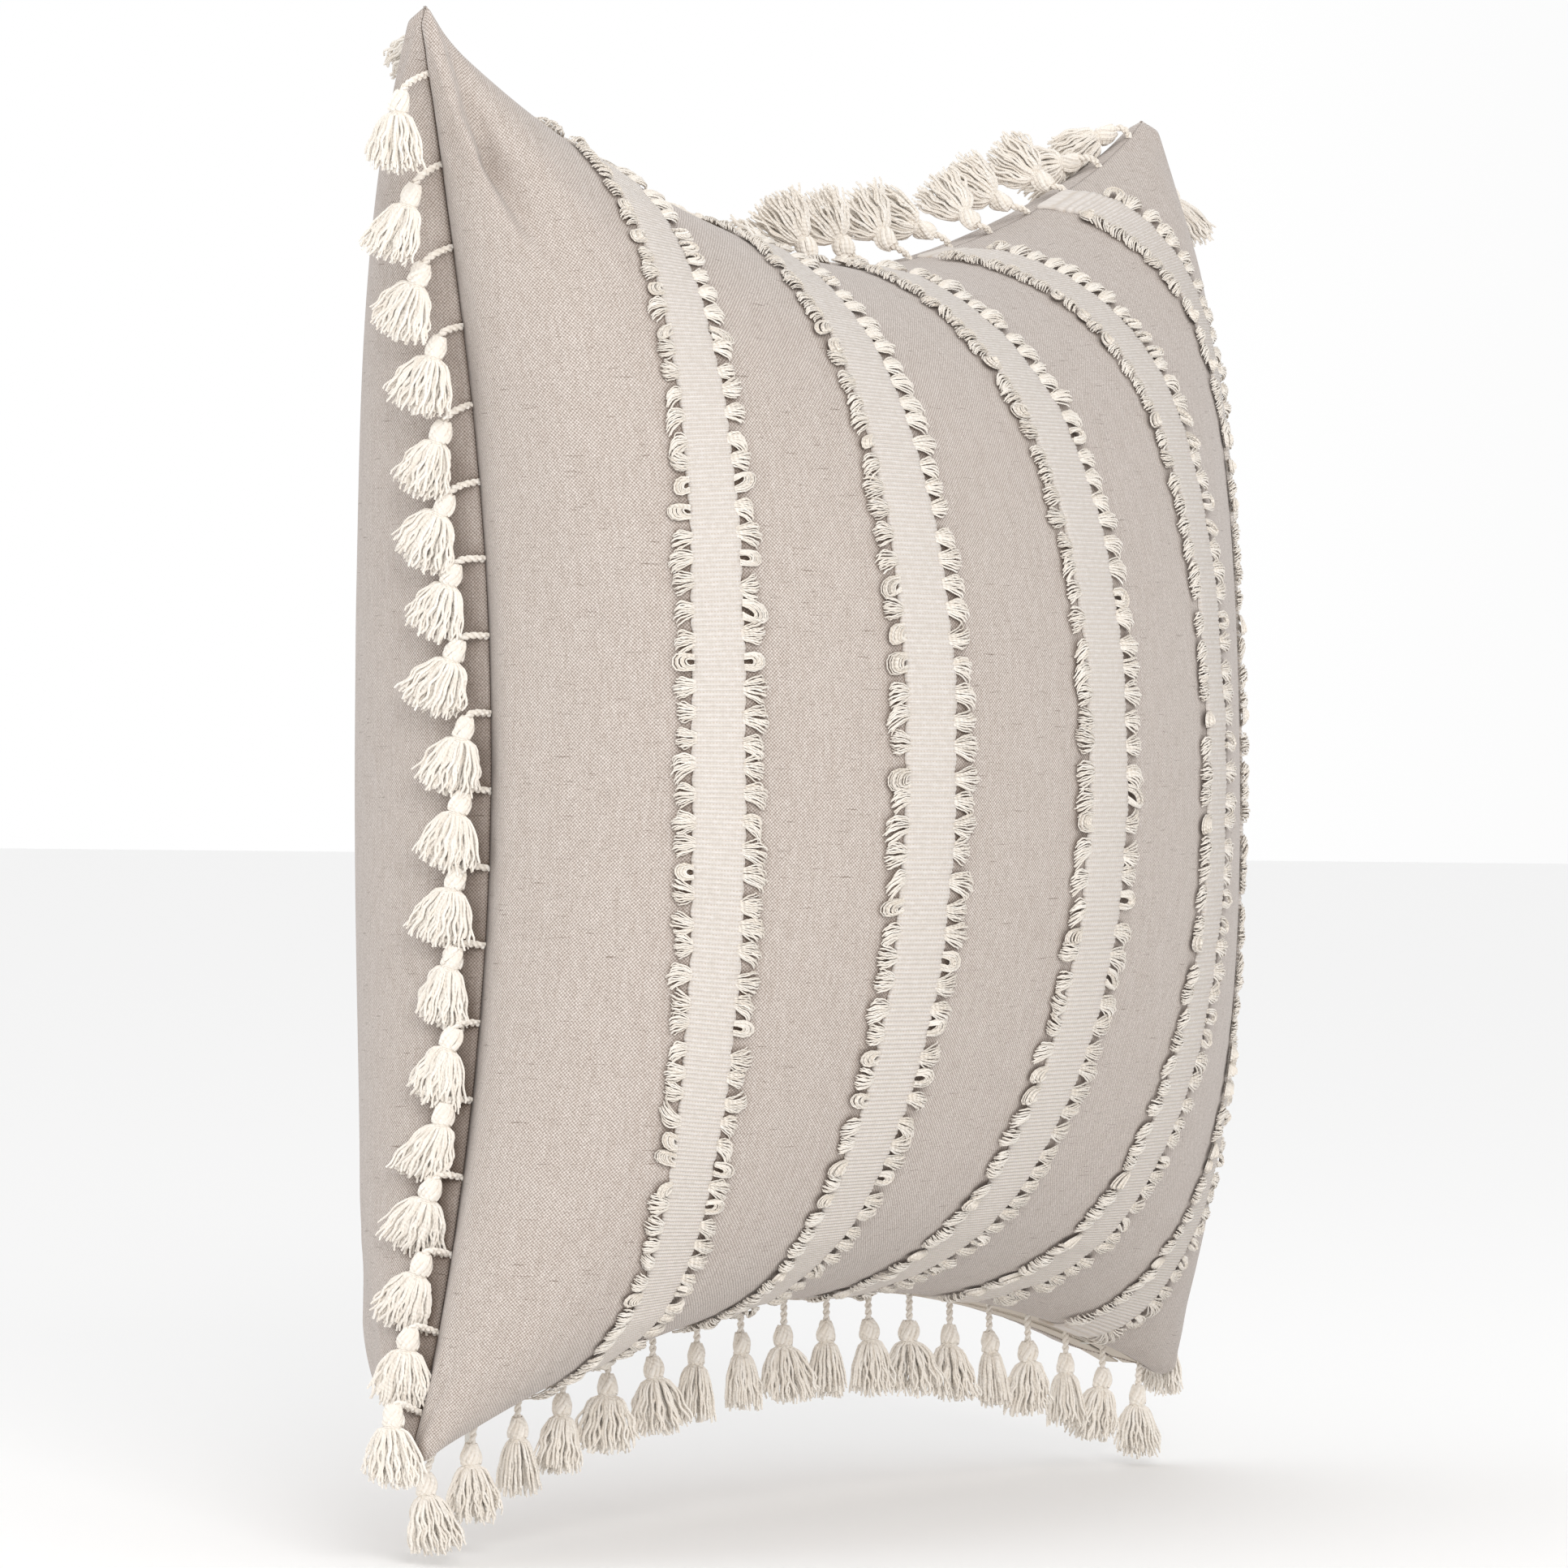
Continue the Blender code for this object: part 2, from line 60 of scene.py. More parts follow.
SEAM_GAP = 0.00015  # seam plane to each panel's edge, at the stitching
FLAT_SIDE = 0.508  # the cover's side before it is stuffed
FRONT_CROWN = 0.129
BACK_CROWN = 0.124
FULLNESS = 0.468  # the power of the height's rise from the seams: less is blunter
ROUNDING = 0.80  # how far the cloth's middle spreads over the stuffing
BLEND = 1.29
ZIP_PARTING = 0.0187  # how far behind the seam plane the back panel starts, along the zipper
ZIP_PARTING_END = 0.935  # where the panels meet again, as a share of the half side, and over what share
ZIP_PARTING_EASE = 0.10
GROOVE = 0.0120  # how far the side seams sink between the panels, whose fold stands proud of them
TOP_GROOVE = 0.0010
GROOVE_END = 10  # the power that closes the grooves at the corners
FRONT_FOLD = 0.0030  # how soon each panel leaves the groove, as a height over the seam plane
BACK_FOLD = 0.0160
BOTTOM_FOLD = 0.0065  # how far the front hangs below the bottom seam, most on the right
TOP_SAG = 0.0190  # how far the top's middle hangs below the even bow
CORNER_TURN = 0.012  # how much of each corner's tip is turned in, and by what share
TURNED_SHARE = 0.62
CLOTH_CELLS = 120

lowest_front, highest_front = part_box("front_panel")
half = (highest_front[0] - lowest_front[0]) / 2
middle_z = (lowest_front[2] + highest_front[2]) / 2
SEAM_PULL_IN = 0.045
seam_radius = (half**2 + SEAM_PULL_IN**2) / (2 * SEAM_PULL_IN)


def bow(along):
    """How far a seam is drawn in at a distance from its middle, on an arc through the corners."""
    return SEAM_PULL_IN - seam_radius + np.sqrt(seam_radius**2 - along**2)


def eased(along, across):
    weight = np.clip(1 - across**2, 0, 1) ** BLEND
    rounded = (1 - ROUNDING) * along + ROUNDING * np.sin(math.pi * along / 2)
    return (1 - weight) * along + weight * rounded


def stuffed(across, up, crown):
    """From places in the flat cloth, -1 to 1, to the stuffed cover: x, height over the seam plane, z."""
    u = eased(across, up)
    v = eased(up, across)
    height = crown * np.clip((1 - u * u) * (1 - v * v), 0, 1) ** FULLNESS
    return u * (half - bow(v * half)), height, v * (half - bow(u * half))


def zip_parting(across):
    ease = np.clip((ZIP_PARTING_END - np.abs(across)) / ZIP_PARTING_EASE, 0, 1)
    return ease * ease * (3 - 2 * ease)


# Each corner stands out as a small ear, and the four never lie alike: (side, top or bottom, shift in x, y
# and z, depth of the crease that runs from the corner into the front).
EARS = (
    (-1, 1, (0.001, -0.012, 0.0145), 0.015),
    (1, 1, (-0.003, 0.007, 0.0085), 0.006),
    (-1, -1, (0.000, -0.007, -0.0035), 0.006),
    (1, -1, (0.005, 0.002, -0.0040), 0.005),
)
EAR_REACH = 7  # the power that keeps an ear's shift within the last few centimetres


def ear_shift(across, up):
    """How far the cloth stands from the even shape at a place: the corners' ears and the top's sag."""
    sag = TOP_SAG * (1 - across**2) ** 2 * ((1 + up) / 2) ** 3
    shift = np.stack([np.zeros_like(sag), np.zeros_like(sag), -sag], axis=-1)
    for side, end, amount, _ in EARS:
        near = (np.clip(across * side, 0, 1) * np.clip(up * end, 0, 1)) ** EAR_REACH
        shift = shift + near[..., None] * np.array(amount)
    return shift


def creases(across, up):
    """Depth of the soft creases from the corners into the front panel, a little off the diagonal."""
    depth = np.zeros(np.shape(across))
    for side, end, _, deep in EARS:
        inward = 1 - up * end
        off = (1 - across * side) - 0.05 - 0.22 * inward
        along = np.clip(1 - np.abs(inward - 0.18) / 0.18, 0, 1)
        depth = depth + deep * np.exp(-((off / 0.045) ** 2)) * along**0.8
    return depth


def softness(across, up, seed):
    """Slow unevenness of a stuffed cloth, fading to nothing at the seams."""
    rng = np.random.default_rng(seed)
    total = np.zeros(np.shape(across))
    for _ in range(14):
        turn = rng.uniform(0, math.tau)
        pace = rng.uniform(3, 9)
        total = total + np.sin(
            pace * (across * math.cos(turn) + up * math.sin(turn)) + rng.uniform(0, 6)
        ) / pace
    return total * 0.0017 * (1 - across**4) * (1 - up**4)


def rows_across():
    """Places of the cloth's rows, -1 to 1, crowded towards the seams, where the cloth turns most."""
    return np.sin(np.linspace(-1, 1, CLOTH_CELLS + 1) * math.pi / 2)


def side_groove(up):
    return GROOVE * (1 - np.abs(up) ** GROOVE_END)


def top_groove(across):
    return TOP_GROOVE * (1 - np.abs(across) ** GROOVE_END)


def start_shape(facing):
    """The cover's panel as a grid of points, rows from the bottom seam up; facing is -1 for the front."""
    across, up = np.meshgrid(rows_across(), rows_across())
    x, height, z = stuffed(across, up, FRONT_CROWN if facing < 0 else BACK_CROWN)
    height = height + softness(across, up, 3 if facing < 0 else 4)
    sunk = np.exp(-height / (FRONT_FOLD if facing < 0 else BACK_FOLD))
    x = x - sunk * side_groove(up) * np.sign(across) * np.abs(across) ** 4
    z = z - sunk * top_groove(across) * np.clip(up, 0, 1) ** 4
    if facing < 0:
        hanging = (1 - np.exp(-height / 0.003)) * np.exp(-height / 0.03) * (0.3 + 0.7 * (1 + across) / 2)
        z = z - BOTTOM_FOLD * hanging * np.clip(-up, 0, 1) ** 4 * (1 - np.abs(across) ** 10)
        height = np.maximum(height - creases(across, up), 0)
    aside = 0.0
    if facing > 0:
        aside = ZIP_PARTING * zip_parting(across) * ((1 - eased(up, across)) / 2) ** 8
    points = np.stack([x, facing * (SEAM_GAP + height + aside), z + middle_z], axis=-1)
    return points + ear_shift(across, up)


def grid_faces(rows, columns, first=0, flip=False):
    faces = []
    for row in range(rows - 1):
        for column in range(columns - 1):
            corner = first + row * columns + column
            face = (corner, corner + 1, corner + 1 + columns, corner + columns)
            faces.append(face[::-1] if flip else face)
    return faces


def inflate(panels):
    """Both panels as one cloth, held at their seams, cut a little large and pressed out from inside."""
    points = np.concatenate([panel.reshape(-1, 3) for panel in panels])
    count = CLOTH_CELLS + 1
    faces = grid_faces(count, count) + grid_faces(count, count, count * count, True)
    mesh = bpy.data.meshes.new("cloth")
    mesh.from_pydata(points.tolist(), [], faces)
    cloth = bpy.data.objects.new("cloth", mesh)
    bpy.context.scene.collection.objects.link(cloth)
    rim = np.zeros((count, count), bool)
    rim[0] = rim[-1] = True
    rim[:, 0] = rim[:, -1] = True
    rim = np.concatenate([rim.ravel(), rim.ravel()])
    held = cloth.vertex_groups.new(name="held")
    held.add([int(i) for i in np.nonzero(rim)[0]], 1.0, "REPLACE")
    puckered = cloth.vertex_groups.new(name="puckered")
    across, up = np.meshgrid(rows_across(), rows_across())
    near_seam = np.maximum(np.abs(across), np.abs(up)) ** 6
    for i, amount in enumerate(np.tile(near_seam.ravel(), 2)):
        puckered.add([i], float(amount), "REPLACE")
    modifier = cloth.modifiers.new("cloth", "CLOTH")
    settings = modifier.settings
    settings.quality = 6
    settings.mass = 0.25
    settings.tension_stiffness = 25
    settings.compression_stiffness = 25
    settings.shear_stiffness = 8
    settings.bending_stiffness = 0.4
    settings.tension_damping = 8
    settings.compression_damping = 8
    settings.shear_damping = 8
    settings.air_damping = 4
    settings.use_pressure = True
    settings.uniform_pressure_force = 5
    settings.effector_weights.gravity = 0
    settings.vertex_group_mass = "held"
    settings.shrink_min = -0.004
    settings.shrink_max = -0.045
    settings.vertex_group_shrink = "puckered"
    modifier.point_cache.frame_start = 1
    modifier.point_cache.frame_end = 40
    for number in range(1, 31):
        bpy.context.scene.frame_set(number)
    drawn = cloth.evaluated_get(bpy.context.evaluated_depsgraph_get()).to_mesh()
    moved = np.empty(len(points) * 3)
    drawn.vertices.foreach_get("co", moved)
    moved = moved.reshape(-1, 3)
    bpy.data.objects.remove(cloth)
    bpy.context.scene.frame_set(1)
    shift = moved - points
    length = np.linalg.norm(shift, axis=1, keepdims=True)
    moved = points + shift * np.minimum(1, 0.008 / np.maximum(length, 1e-9))
    return [part.reshape(count, count, 3) for part in np.split(moved, 2)]


def blunted(panels):
    """Turns each corner's last centimetre in, as a folded seam allowance does inside a real corner."""
    for side, end, _, _ in EARS:
        diagonal = np.array([side, 0.0, end]) / math.sqrt(2)
        tip = panels[0][-1 if end > 0 else 0, -1 if side > 0 else 0] @ diagonal
        for panel in panels:
            past = np.maximum(panel @ diagonal - (tip - CORNER_TURN), 0)
            panel -= past[..., None] * TURNED_SHARE * diagonal
    return panels


cover = [start_shape(-1), start_shape(1)]
cover = inflate(cover)
cover = blunted(cover)


def sample(grid, across, up):
    """Points of a panel at places in its flat cloth, by a smooth curve through the four nearest rows."""
    count = grid.shape[0]

    def weights(place):
        at = (np.arcsin(np.clip(place, -1, 1)) / math.pi + 0.5) * (count - 1)
        at = np.clip(at, 0, count - 1 - 1e-9)
        cell = np.floor(at).astype(int)
        t = (at - cell)[..., None]
        rows = np.stack([np.clip(cell + k, 0, count - 1) for k in (-1, 0, 1, 2)], axis=-1)
        blend = np.concatenate([
            0.5 * (-t**3 + 2 * t**2 - t),
            0.5 * (3 * t**3 - 5 * t**2 + 2),
            0.5 * (-3 * t**3 + 4 * t**2 + t),
            0.5 * (t**3 - t**2),
        ], axis=-1)
        return rows, blend

    columns, side = weights(np.asarray(across, float))
    rows, height = weights(np.asarray(up, float))
    corners = grid[rows[..., :, None], columns[..., None, :]]
    return np.einsum("...i,...j,...ijk->...k", height, side, corners)


def surface_frame(grid, across, up, facing):
    """A point of a panel with its ways along X, up the cloth, and out of the pillow."""
    step = 0.004
    low = np.clip(np.asarray(up, float) - step, -1, 1)
    high = np.clip(np.asarray(up, float) + step, -1, 1)
    left = np.clip(np.asarray(across, float) - step, -1, 1)
    right = np.clip(np.asarray(across, float) + step, -1, 1)
    side = sample(grid, right, up) - sample(grid, left, up)
    rise = sample(grid, across, high) - sample(grid, across, low)
    side /= np.linalg.norm(side, axis=-1, keepdims=True)
    rise /= np.linalg.norm(rise, axis=-1, keepdims=True)
    out = np.cross(side, rise) * (-facing)
    out /= np.linalg.norm(out, axis=-1, keepdims=True)
    return sample(grid, across, up), side, rise, out


def piece_of(name, points, faces, finish, flat=None, smooth=True):
    """An object of a mesh; flat holds each point's place in its flat cloth or yarn, in millimetres."""
    mesh = bpy.data.meshes.new(name)
    mesh.from_pydata(np.asarray(points, float).tolist(), [], faces)
    if flat is not None:
        place = mesh.attributes.new("flat", "FLOAT_VECTOR", "POINT")
        place.data.foreach_set("vector", np.asarray(flat, np.float32).ravel())
    mesh.polygons.foreach_set("use_smooth", [smooth] * len(mesh.polygons))
    mesh.materials.append(finish)
    thing = bpy.data.objects.new(name, mesh)
    bpy.context.scene.collection.objects.link(thing)
    return thing


def linear(hex_colour):
    """An sRGB hex colour as linear light."""
    levels = [int(hex_colour[i:i + 2], 16) / 255 for i in (1, 3, 5)]
    return [c / 12.92 if c <= 0.04045 else ((c + 0.055) / 1.055) ** 2.4 for c in levels] + [1.0]


def add_node(finish, kind, settings=None, links=None):
    """Adds a node: settings are properties, a ramp's stops and sockets' values, links sockets' sources."""
    node = finish.node_tree.nodes.new(kind)
    for key, value in (settings or {}).items():
        if key == "stops":
            for stop, (place, hex_colour) in zip(node.color_ramp.elements, value):
                stop.position = place
                stop.color = linear(hex_colour)
        elif isinstance(key, str) and hasattr(node, key):
            setattr(node, key, value)
        else:
            node.inputs[key].default_value = value
    for key, source in (links or {}).items():
        finish.node_tree.links.new(source, node.inputs[key])
    return node


def new_finish(name):
    finish = bpy.data.materials.new(name)
    finish.use_nodes = True
    return finish, finish.node_tree.nodes["Principled BSDF"]


# Natural linen-look cloth: undyed cotton and flax, plain woven from uneven yarn. It is dull, faintly
# fuzzy at its edges, and its threads show as a fine basket of light and dark with thicker slubs that run
# along the weft. Warm brown shade is painted into its seams, creases and hollows under the trims.
THREAD_MM = 0.62  # the real threads are 0.4 mm apart, drawn a little coarser so that they show
linen, shader = new_finish("linen look plain weave")
flat = add_node(linen, "ShaderNodeAttribute", {"attribute_name": "flat"}).outputs["Vector"]
wander = add_node(linen, "ShaderNodeTexNoise", {"Scale": 0.25, "Detail": 2.0}, {"Vector": flat})
bent = add_node(linen, "ShaderNodeVectorMath", {"operation": "MULTIPLY_ADD", 1: (0.5, 0.5, 0.0)},
                {0: wander.outputs["Color"], 2: flat})
axes = add_node(linen, "ShaderNodeSeparateXYZ", {}, {0: bent.outputs[0]})
turn = 2 * math.pi / (2 * THREAD_MM)
warp = add_node(linen, "ShaderNodeMath", {"operation": "MULTIPLY", 1: turn}, {0: axes.outputs[0]})
weft = add_node(linen, "ShaderNodeMath", {"operation": "MULTIPLY", 1: turn}, {0: axes.outputs[1]})
warp_wave = add_node(linen, "ShaderNodeMath", {"operation": "SINE"}, {0: warp.outputs[0]})
weft_wave = add_node(linen, "ShaderNodeMath", {"operation": "SINE"}, {0: weft.outputs[0]})
basket = add_node(linen, "ShaderNodeMath", {"operation": "MULTIPLY"},
                  {0: warp_wave.outputs[0], 1: weft_wave.outputs[0]})
along_weft = add_node(linen, "ShaderNodeMapping", {"Scale": (0.09, 1.1, 1.0)}, {"Vector": flat})
slub = add_node(linen, "ShaderNodeTexNoise", {"Scale": 1.0, "Detail": 3.0, "Roughness": 0.6},
                {"Vector": along_weft.outputs[0]})
slub_dark = add_node(linen, "ShaderNodeMapRange", {1: 0.62, 2: 0.78, 3: 0.0, 4: 1.0},
                     {0: slub.outputs[0]})
along_warp = add_node(linen, "ShaderNodeMapping", {"Scale": (1.0, 0.12, 1.0)}, {"Vector": flat})
streak = add_node(linen, "ShaderNodeTexNoise", {"Scale": 0.9, "Detail": 3.0, "Roughness": 0.65},
                  {"Vector": along_warp.outputs[0]})
grain = add_node(linen, "ShaderNodeTexNoise", {"Scale": 1.6, "Detail": 2.0, "Roughness": 0.7},
                 {"Vector": flat})
tone = add_node(linen, "ShaderNodeValToRGB", {"stops": ((0.32, "#c6bcb4"), (0.70, "#f3ebe6"))},
                {0: grain.outputs[0]}).outputs[0]
basket_level = add_node(linen, "ShaderNodeMapRange", {1: -1.0, 2: 1.0, 3: 0.0, 4: 1.0},
                        {0: basket.outputs[0]})
shade_of_gap = add_node(linen, "ShaderNodeValToRGB", {"stops": ((0.0, "#9c9086"), (1.0, "#ffffff"))},
                        {0: basket_level.outputs[0]}).outputs[0]
streak_tone = add_node(linen, "ShaderNodeValToRGB", {"stops": ((0.35, "#ddd5ce"), (0.62, "#ffffff"))},
                       {0: streak.outputs[0]}).outputs[0]
# Painted shade: an ambient occlusion node darkens the cloth to warm brown in the seams' grooves, the
# creases and under the bunches and tassels, where shade falls.
hollow = add_node(linen, "ShaderNodeAmbientOcclusion", {"samples": 6, "Distance": 0.013})
painted_hollow_shade = add_node(linen, "ShaderNodeValToRGB", {"stops": ((0.15, "#84705d"), (0.80, "#ffffff"))},
                       {0: hollow.outputs["AO"]}).outputs[0]
multiply = {"data_type": "RGBA", "blend_type": "MULTIPLY"}
woven = add_node(linen, "ShaderNodeMix", {**multiply, 0: 0.9}, {6: tone, 7: shade_of_gap})
slubbed = add_node(linen, "ShaderNodeMix", {**multiply, 7: linear("#a3968b")},
                   {0: slub_dark.outputs[0], 6: woven.outputs[2]})
streaked = add_node(linen, "ShaderNodeMix", {**multiply, 0: 0.35},
                    {6: slubbed.outputs[2], 7: streak_tone})
painted_shade_mix = add_node(linen, "ShaderNodeMix", {**multiply, 0: 1.0},
                 {6: streaked.outputs[2], 7: painted_hollow_shade})
linen.node_tree.links.new(painted_shade_mix.outputs[2], shader.inputs["Base Color"])
relief = add_node(linen, "ShaderNodeMath", {"operation": "MULTIPLY_ADD", 1: 0.6},
                  {0: grain.outputs[0], 2: basket_level.outputs[0]})
bump = add_node(linen, "ShaderNodeBump", {"Strength": 0.45, "Distance": 0.0003},
                {"Height": relief.outputs[0]})
linen.node_tree.links.new(bump.outputs[0], shader.inputs["Normal"])
shader.inputs["Roughness"].default_value = 0.92
shader.inputs["Specular IOR Level"].default_value = 0.25
shader.inputs["Sheen Weight"].default_value = 0.25
shader.inputs["Sheen Roughness"].default_value = 0.6


def thread_run(grid, axis):
    """How far along its thread each point of a panel is from the thread's middle, in millimetres."""
    gaps = np.linalg.norm(np.diff(grid, axis=axis), axis=2)
    run = np.insert(np.cumsum(gaps, axis=axis), 0, 0, axis=axis) * 1000
    return run - np.take(run, [grid.shape[axis] // 2], axis=axis)


for grid, facing, name, node in ((cover[0], -1, "cover_front", "front_panel"),
                                 (cover[1], 1, "cover_back", "back_panel")):
    count = CLOTH_CELLS + 1
    across_mm = thread_run(grid, 1)
    up_mm = thread_run(grid, 0)
    flat_places = np.stack([across_mm, up_mm, np.full_like(up_mm, facing * 7.0)], axis=-1)
    panel = piece_of(name, grid.reshape(-1, 3), grid_faces(count, count, 0, facing > 0), linen,
                     flat_places)
    finer = panel.modifiers.new("finer", "SUBSURF")
    finer.levels = 1
    finer.render_levels = 1
    finer.boundary_smooth = "PRESERVE_CORNERS"
    thick = panel.modifiers.new("cloth thickness", "SOLIDIFY")
    thick.thickness = 0.0009
    thick.offset = -1
    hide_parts(node)
    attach(panel, "pillow")

# ---- Insert --------------------------------------------------------------------------------------
# A white non-woven case, front and back, sewn round its edge and filled with blown polyester fibre. It
# fills the cover to its seams and shows only when the zipper is open.

INSERT_DEPTH = 0.004  # the cover to the insert's case
FILL_DEPTH = 0.0025

casing, shader = new_finish("white non-woven casing")
flat = add_node(casing, "ShaderNodeAttribute", {"attribute_name": "flat"}).outputs["Vector"]
fibres = add_node(casing, "ShaderNodeTexNoise", {"Scale": 1.2, "Detail": 4.0, "Roughness": 0.7},
                  {"Vector": flat})
whites = add_node(casing, "ShaderNodeValToRGB", {"stops": ((0.0, "#dedcd8"), (1.0, "#f6f5f2"))},
                  {0: fibres.outputs[0]}).outputs[0]
pressed = add_node(casing, "ShaderNodeBump", {"Strength": 0.3, "Distance": 0.0003},
                   {"Height": fibres.outputs[0]})
casing.node_tree.links.new(whites, shader.inputs["Base Color"])
casing.node_tree.links.new(pressed.outputs[0], shader.inputs["Normal"])
shader.inputs["Roughness"].default_value = 0.85

fibre, shader = new_finish("blown polyester fibre")
place = add_node(fibre, "ShaderNodeTexCoord").outputs["Object"]
tufts = add_node(fibre, "ShaderNodeTexNoise", {"Scale": 90.0, "Detail": 6.0, "Roughness": 0.7},
                 {"Vector": place})
tuft_whites = add_node(fibre, "ShaderNodeValToRGB", {"stops": ((0.0, "#e2e2e0"), (1.0, "#fbfbfa"))},
                       {0: tufts.outputs[0]}).outputs[0]
fluff = add_node(fibre, "ShaderNodeBump", {"Strength": 0.8, "Distance": 0.002},
                 {"Height": tufts.outputs[0]})
fibre.node_tree.links.new(tuft_whites, shader.inputs["Base Color"])
fibre.node_tree.links.new(fluff.outputs[0], shader.inputs["Normal"])
shader.inputs["Roughness"].default_value = 1.0

INSERT_CELLS = 36
INSERT_INSET = 0.955  # the insert's seam, as a share of the cover's flat width
INSERT_CLEAR = 0.003  # how far the insert's edge stays inside the cover's sunk seams
CASING_HALF_MM = 254


def inner_panel(side, depth):
    """A panel of the insert: the cover's surface drawn in by a depth, on a coarser grid."""
    steps = np.linspace(-INSERT_INSET, INSERT_INSET, INSERT_CELLS + 1)
    across, up = np.meshgrid(steps, steps)
    points, _, _, out = surface_frame(cover[0 if side < 0 else 1], across, up, side)
    points = points - out * depth
    edge = np.clip((INSERT_INSET - np.maximum(np.abs(across), np.abs(up))) * 12, 0, 1) ** 0.5
    points[..., 1] = side * 0.0006 + (points[..., 1] - side * 0.0006) * edge
    drawn_in = (1 - edge) * (GROOVE + INSERT_CLEAR)
    points[..., 0] -= drawn_in * np.sign(across) * np.abs(across) ** 6
    points[..., 2] -= drawn_in * np.clip(up, 0, 1) ** 6
    return points, across, up


inner_count = INSERT_CELLS + 1
for side, name, node in ((-1, "insert_casing_front", "insert_front_casing"),
                         (1, "insert_casing_back", "insert_back_casing")):
    points, across, up = inner_panel(side, INSERT_DEPTH)
    flat_places = np.stack([across * CASING_HALF_MM, up * CASING_HALF_MM,
                            np.full_like(up, side * 9.0)], axis=-1)
    panel = piece_of(name, points.reshape(-1, 3), grid_faces(inner_count, inner_count, 0, side > 0),
                     casing, flat_places)
    thick = panel.modifiers.new("cloth thickness", "SOLIDIFY")
    thick.thickness = 0.0005
    thick.offset = -1
    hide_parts(node)
    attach(panel, "pillow")

front_fill = inner_panel(-1, INSERT_DEPTH + FILL_DEPTH)[0]
back_fill = inner_panel(1, INSERT_DEPTH + FILL_DEPTH)[0]
fill_points = np.concatenate([front_fill.reshape(-1, 3), back_fill.reshape(-1, 3)])
fill_faces = grid_faces(inner_count, inner_count)
fill_faces += grid_faces(inner_count, inner_count, inner_count**2, True)
rim = list(range(inner_count)) + [row * inner_count + INSERT_CELLS for row in range(1, inner_count)]
rim += [INSERT_CELLS * inner_count + column for column in range(INSERT_CELLS - 1, -1, -1)]
rim += [row * inner_count for row in range(INSERT_CELLS - 1, 0, -1)]
for here, after in zip(rim, rim[1:] + rim[:1]):
    fill_faces.append((after, here, inner_count**2 + here, inner_count**2 + after))
fill = piece_of("insert_fill", fill_points, fill_faces, fibre)
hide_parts("insert_fibre_fill")
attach(fill, "pillow")

# ---- Trim bands ----------------------------------------------------------------------------------
# Five cotton bands, woven with a crosswise rib and sewn flat on the front from seam to seam. Their weft
# runs past both edges in soft bunches, some cut and fanned, some turned back as open loops, which shade
# the cloth beside them.

BAND_COUNT = 5
BAND_WIDTH_MM = 20.5
BAND_RAISE_MM = 0.3
BAND_THICK_MM = 1.0
RIB_MM = 1.6
RIB_DEPTH_MM = 0.16
BUNCH_PITCH_MM = 8.4
BUNCH_YARNS = 16
BUNCH_YARN_MM = 0.62
SIDE_MM = FLAT_SIDE * 1000
# shares of the half side short of the seam, where it turns in
TAPE_END_ROWS = (0.0014, 0.0009, 0.0005, 0.0002, 0.0)


def tubes(paths, radii, sides, square_to=None):
    """Points, faces and yarn places of round yarns, in metres.

    paths is yarns x points x 3, radii yarns x points; square_to is a way that no yarn runs along.
    """
    paths = np.asarray(paths, float)
    yarns, count = paths.shape[:2]
    along = np.gradient(paths, axis=1)
    along /= np.maximum(np.linalg.norm(along, axis=2, keepdims=True), 1e-12)
    if square_to is None:
        mean = along.mean(axis=1, keepdims=True)
        square_to = np.where(np.abs(mean[..., 2:3]) > 0.7, [[[1.0, 0.0, 0.0]]], [[[0.0, 0.0, 1.0]]])
    else:
        square_to = np.reshape(square_to, (-1, 1, 3))
    side = np.cross(along, square_to)
    side /= np.maximum(np.linalg.norm(side, axis=2, keepdims=True), 1e-12)
    over = np.cross(along, side)
    turns = np.arange(sides) * math.tau / sides
    ring = side[:, :, None] * np.cos(turns)[:, None] + over[:, :, None] * np.sin(turns)[:, None]
    points = paths[:, :, None] + ring * np.asarray(radii)[:, :, None, None]
    step = np.linalg.norm(np.diff(paths, axis=1), axis=2)
    run = np.concatenate([np.zeros((yarns, 1)), np.cumsum(step, axis=1)], axis=1) * 1000
    places = np.zeros(points.shape)
    places[..., 0] = run[:, :, None] + np.arange(yarns)[:, None, None] * 17.3
    places[..., 1] = np.arange(sides) / sides
    first = (np.arange(yarns) * count * sides)[:, None, None]
    low = first + np.arange(count - 1)[:, None] * sides + np.arange(sides)
    after = first + np.arange(count - 1)[:, None] * sides + (np.arange(sides) + 1) % sides
    faces = np.stack([low, after, after + sides, low + sides], axis=-1).reshape(-1, 4).tolist()
    starts = first.reshape(-1, 1) + np.arange(sides)[::-1]
    ends = first.reshape(-1, 1) + (count - 1) * sides + np.arange(sides)
    faces += starts.tolist() + ends.tolist()
    return points.reshape(-1, 3), faces, places.reshape(-1, 3)


def joined(forms):
    """Several (points, faces, places) as one."""
    points, faces, places = [], [], []
    total = 0
    for form_points, form_faces, form_places in forms:
        points.append(form_points)
        places.append(form_places)
        faces += [[total + corner for corner in face] for face in form_faces]
        total += len(form_points)
    return np.concatenate(points), faces, np.concatenate(places)


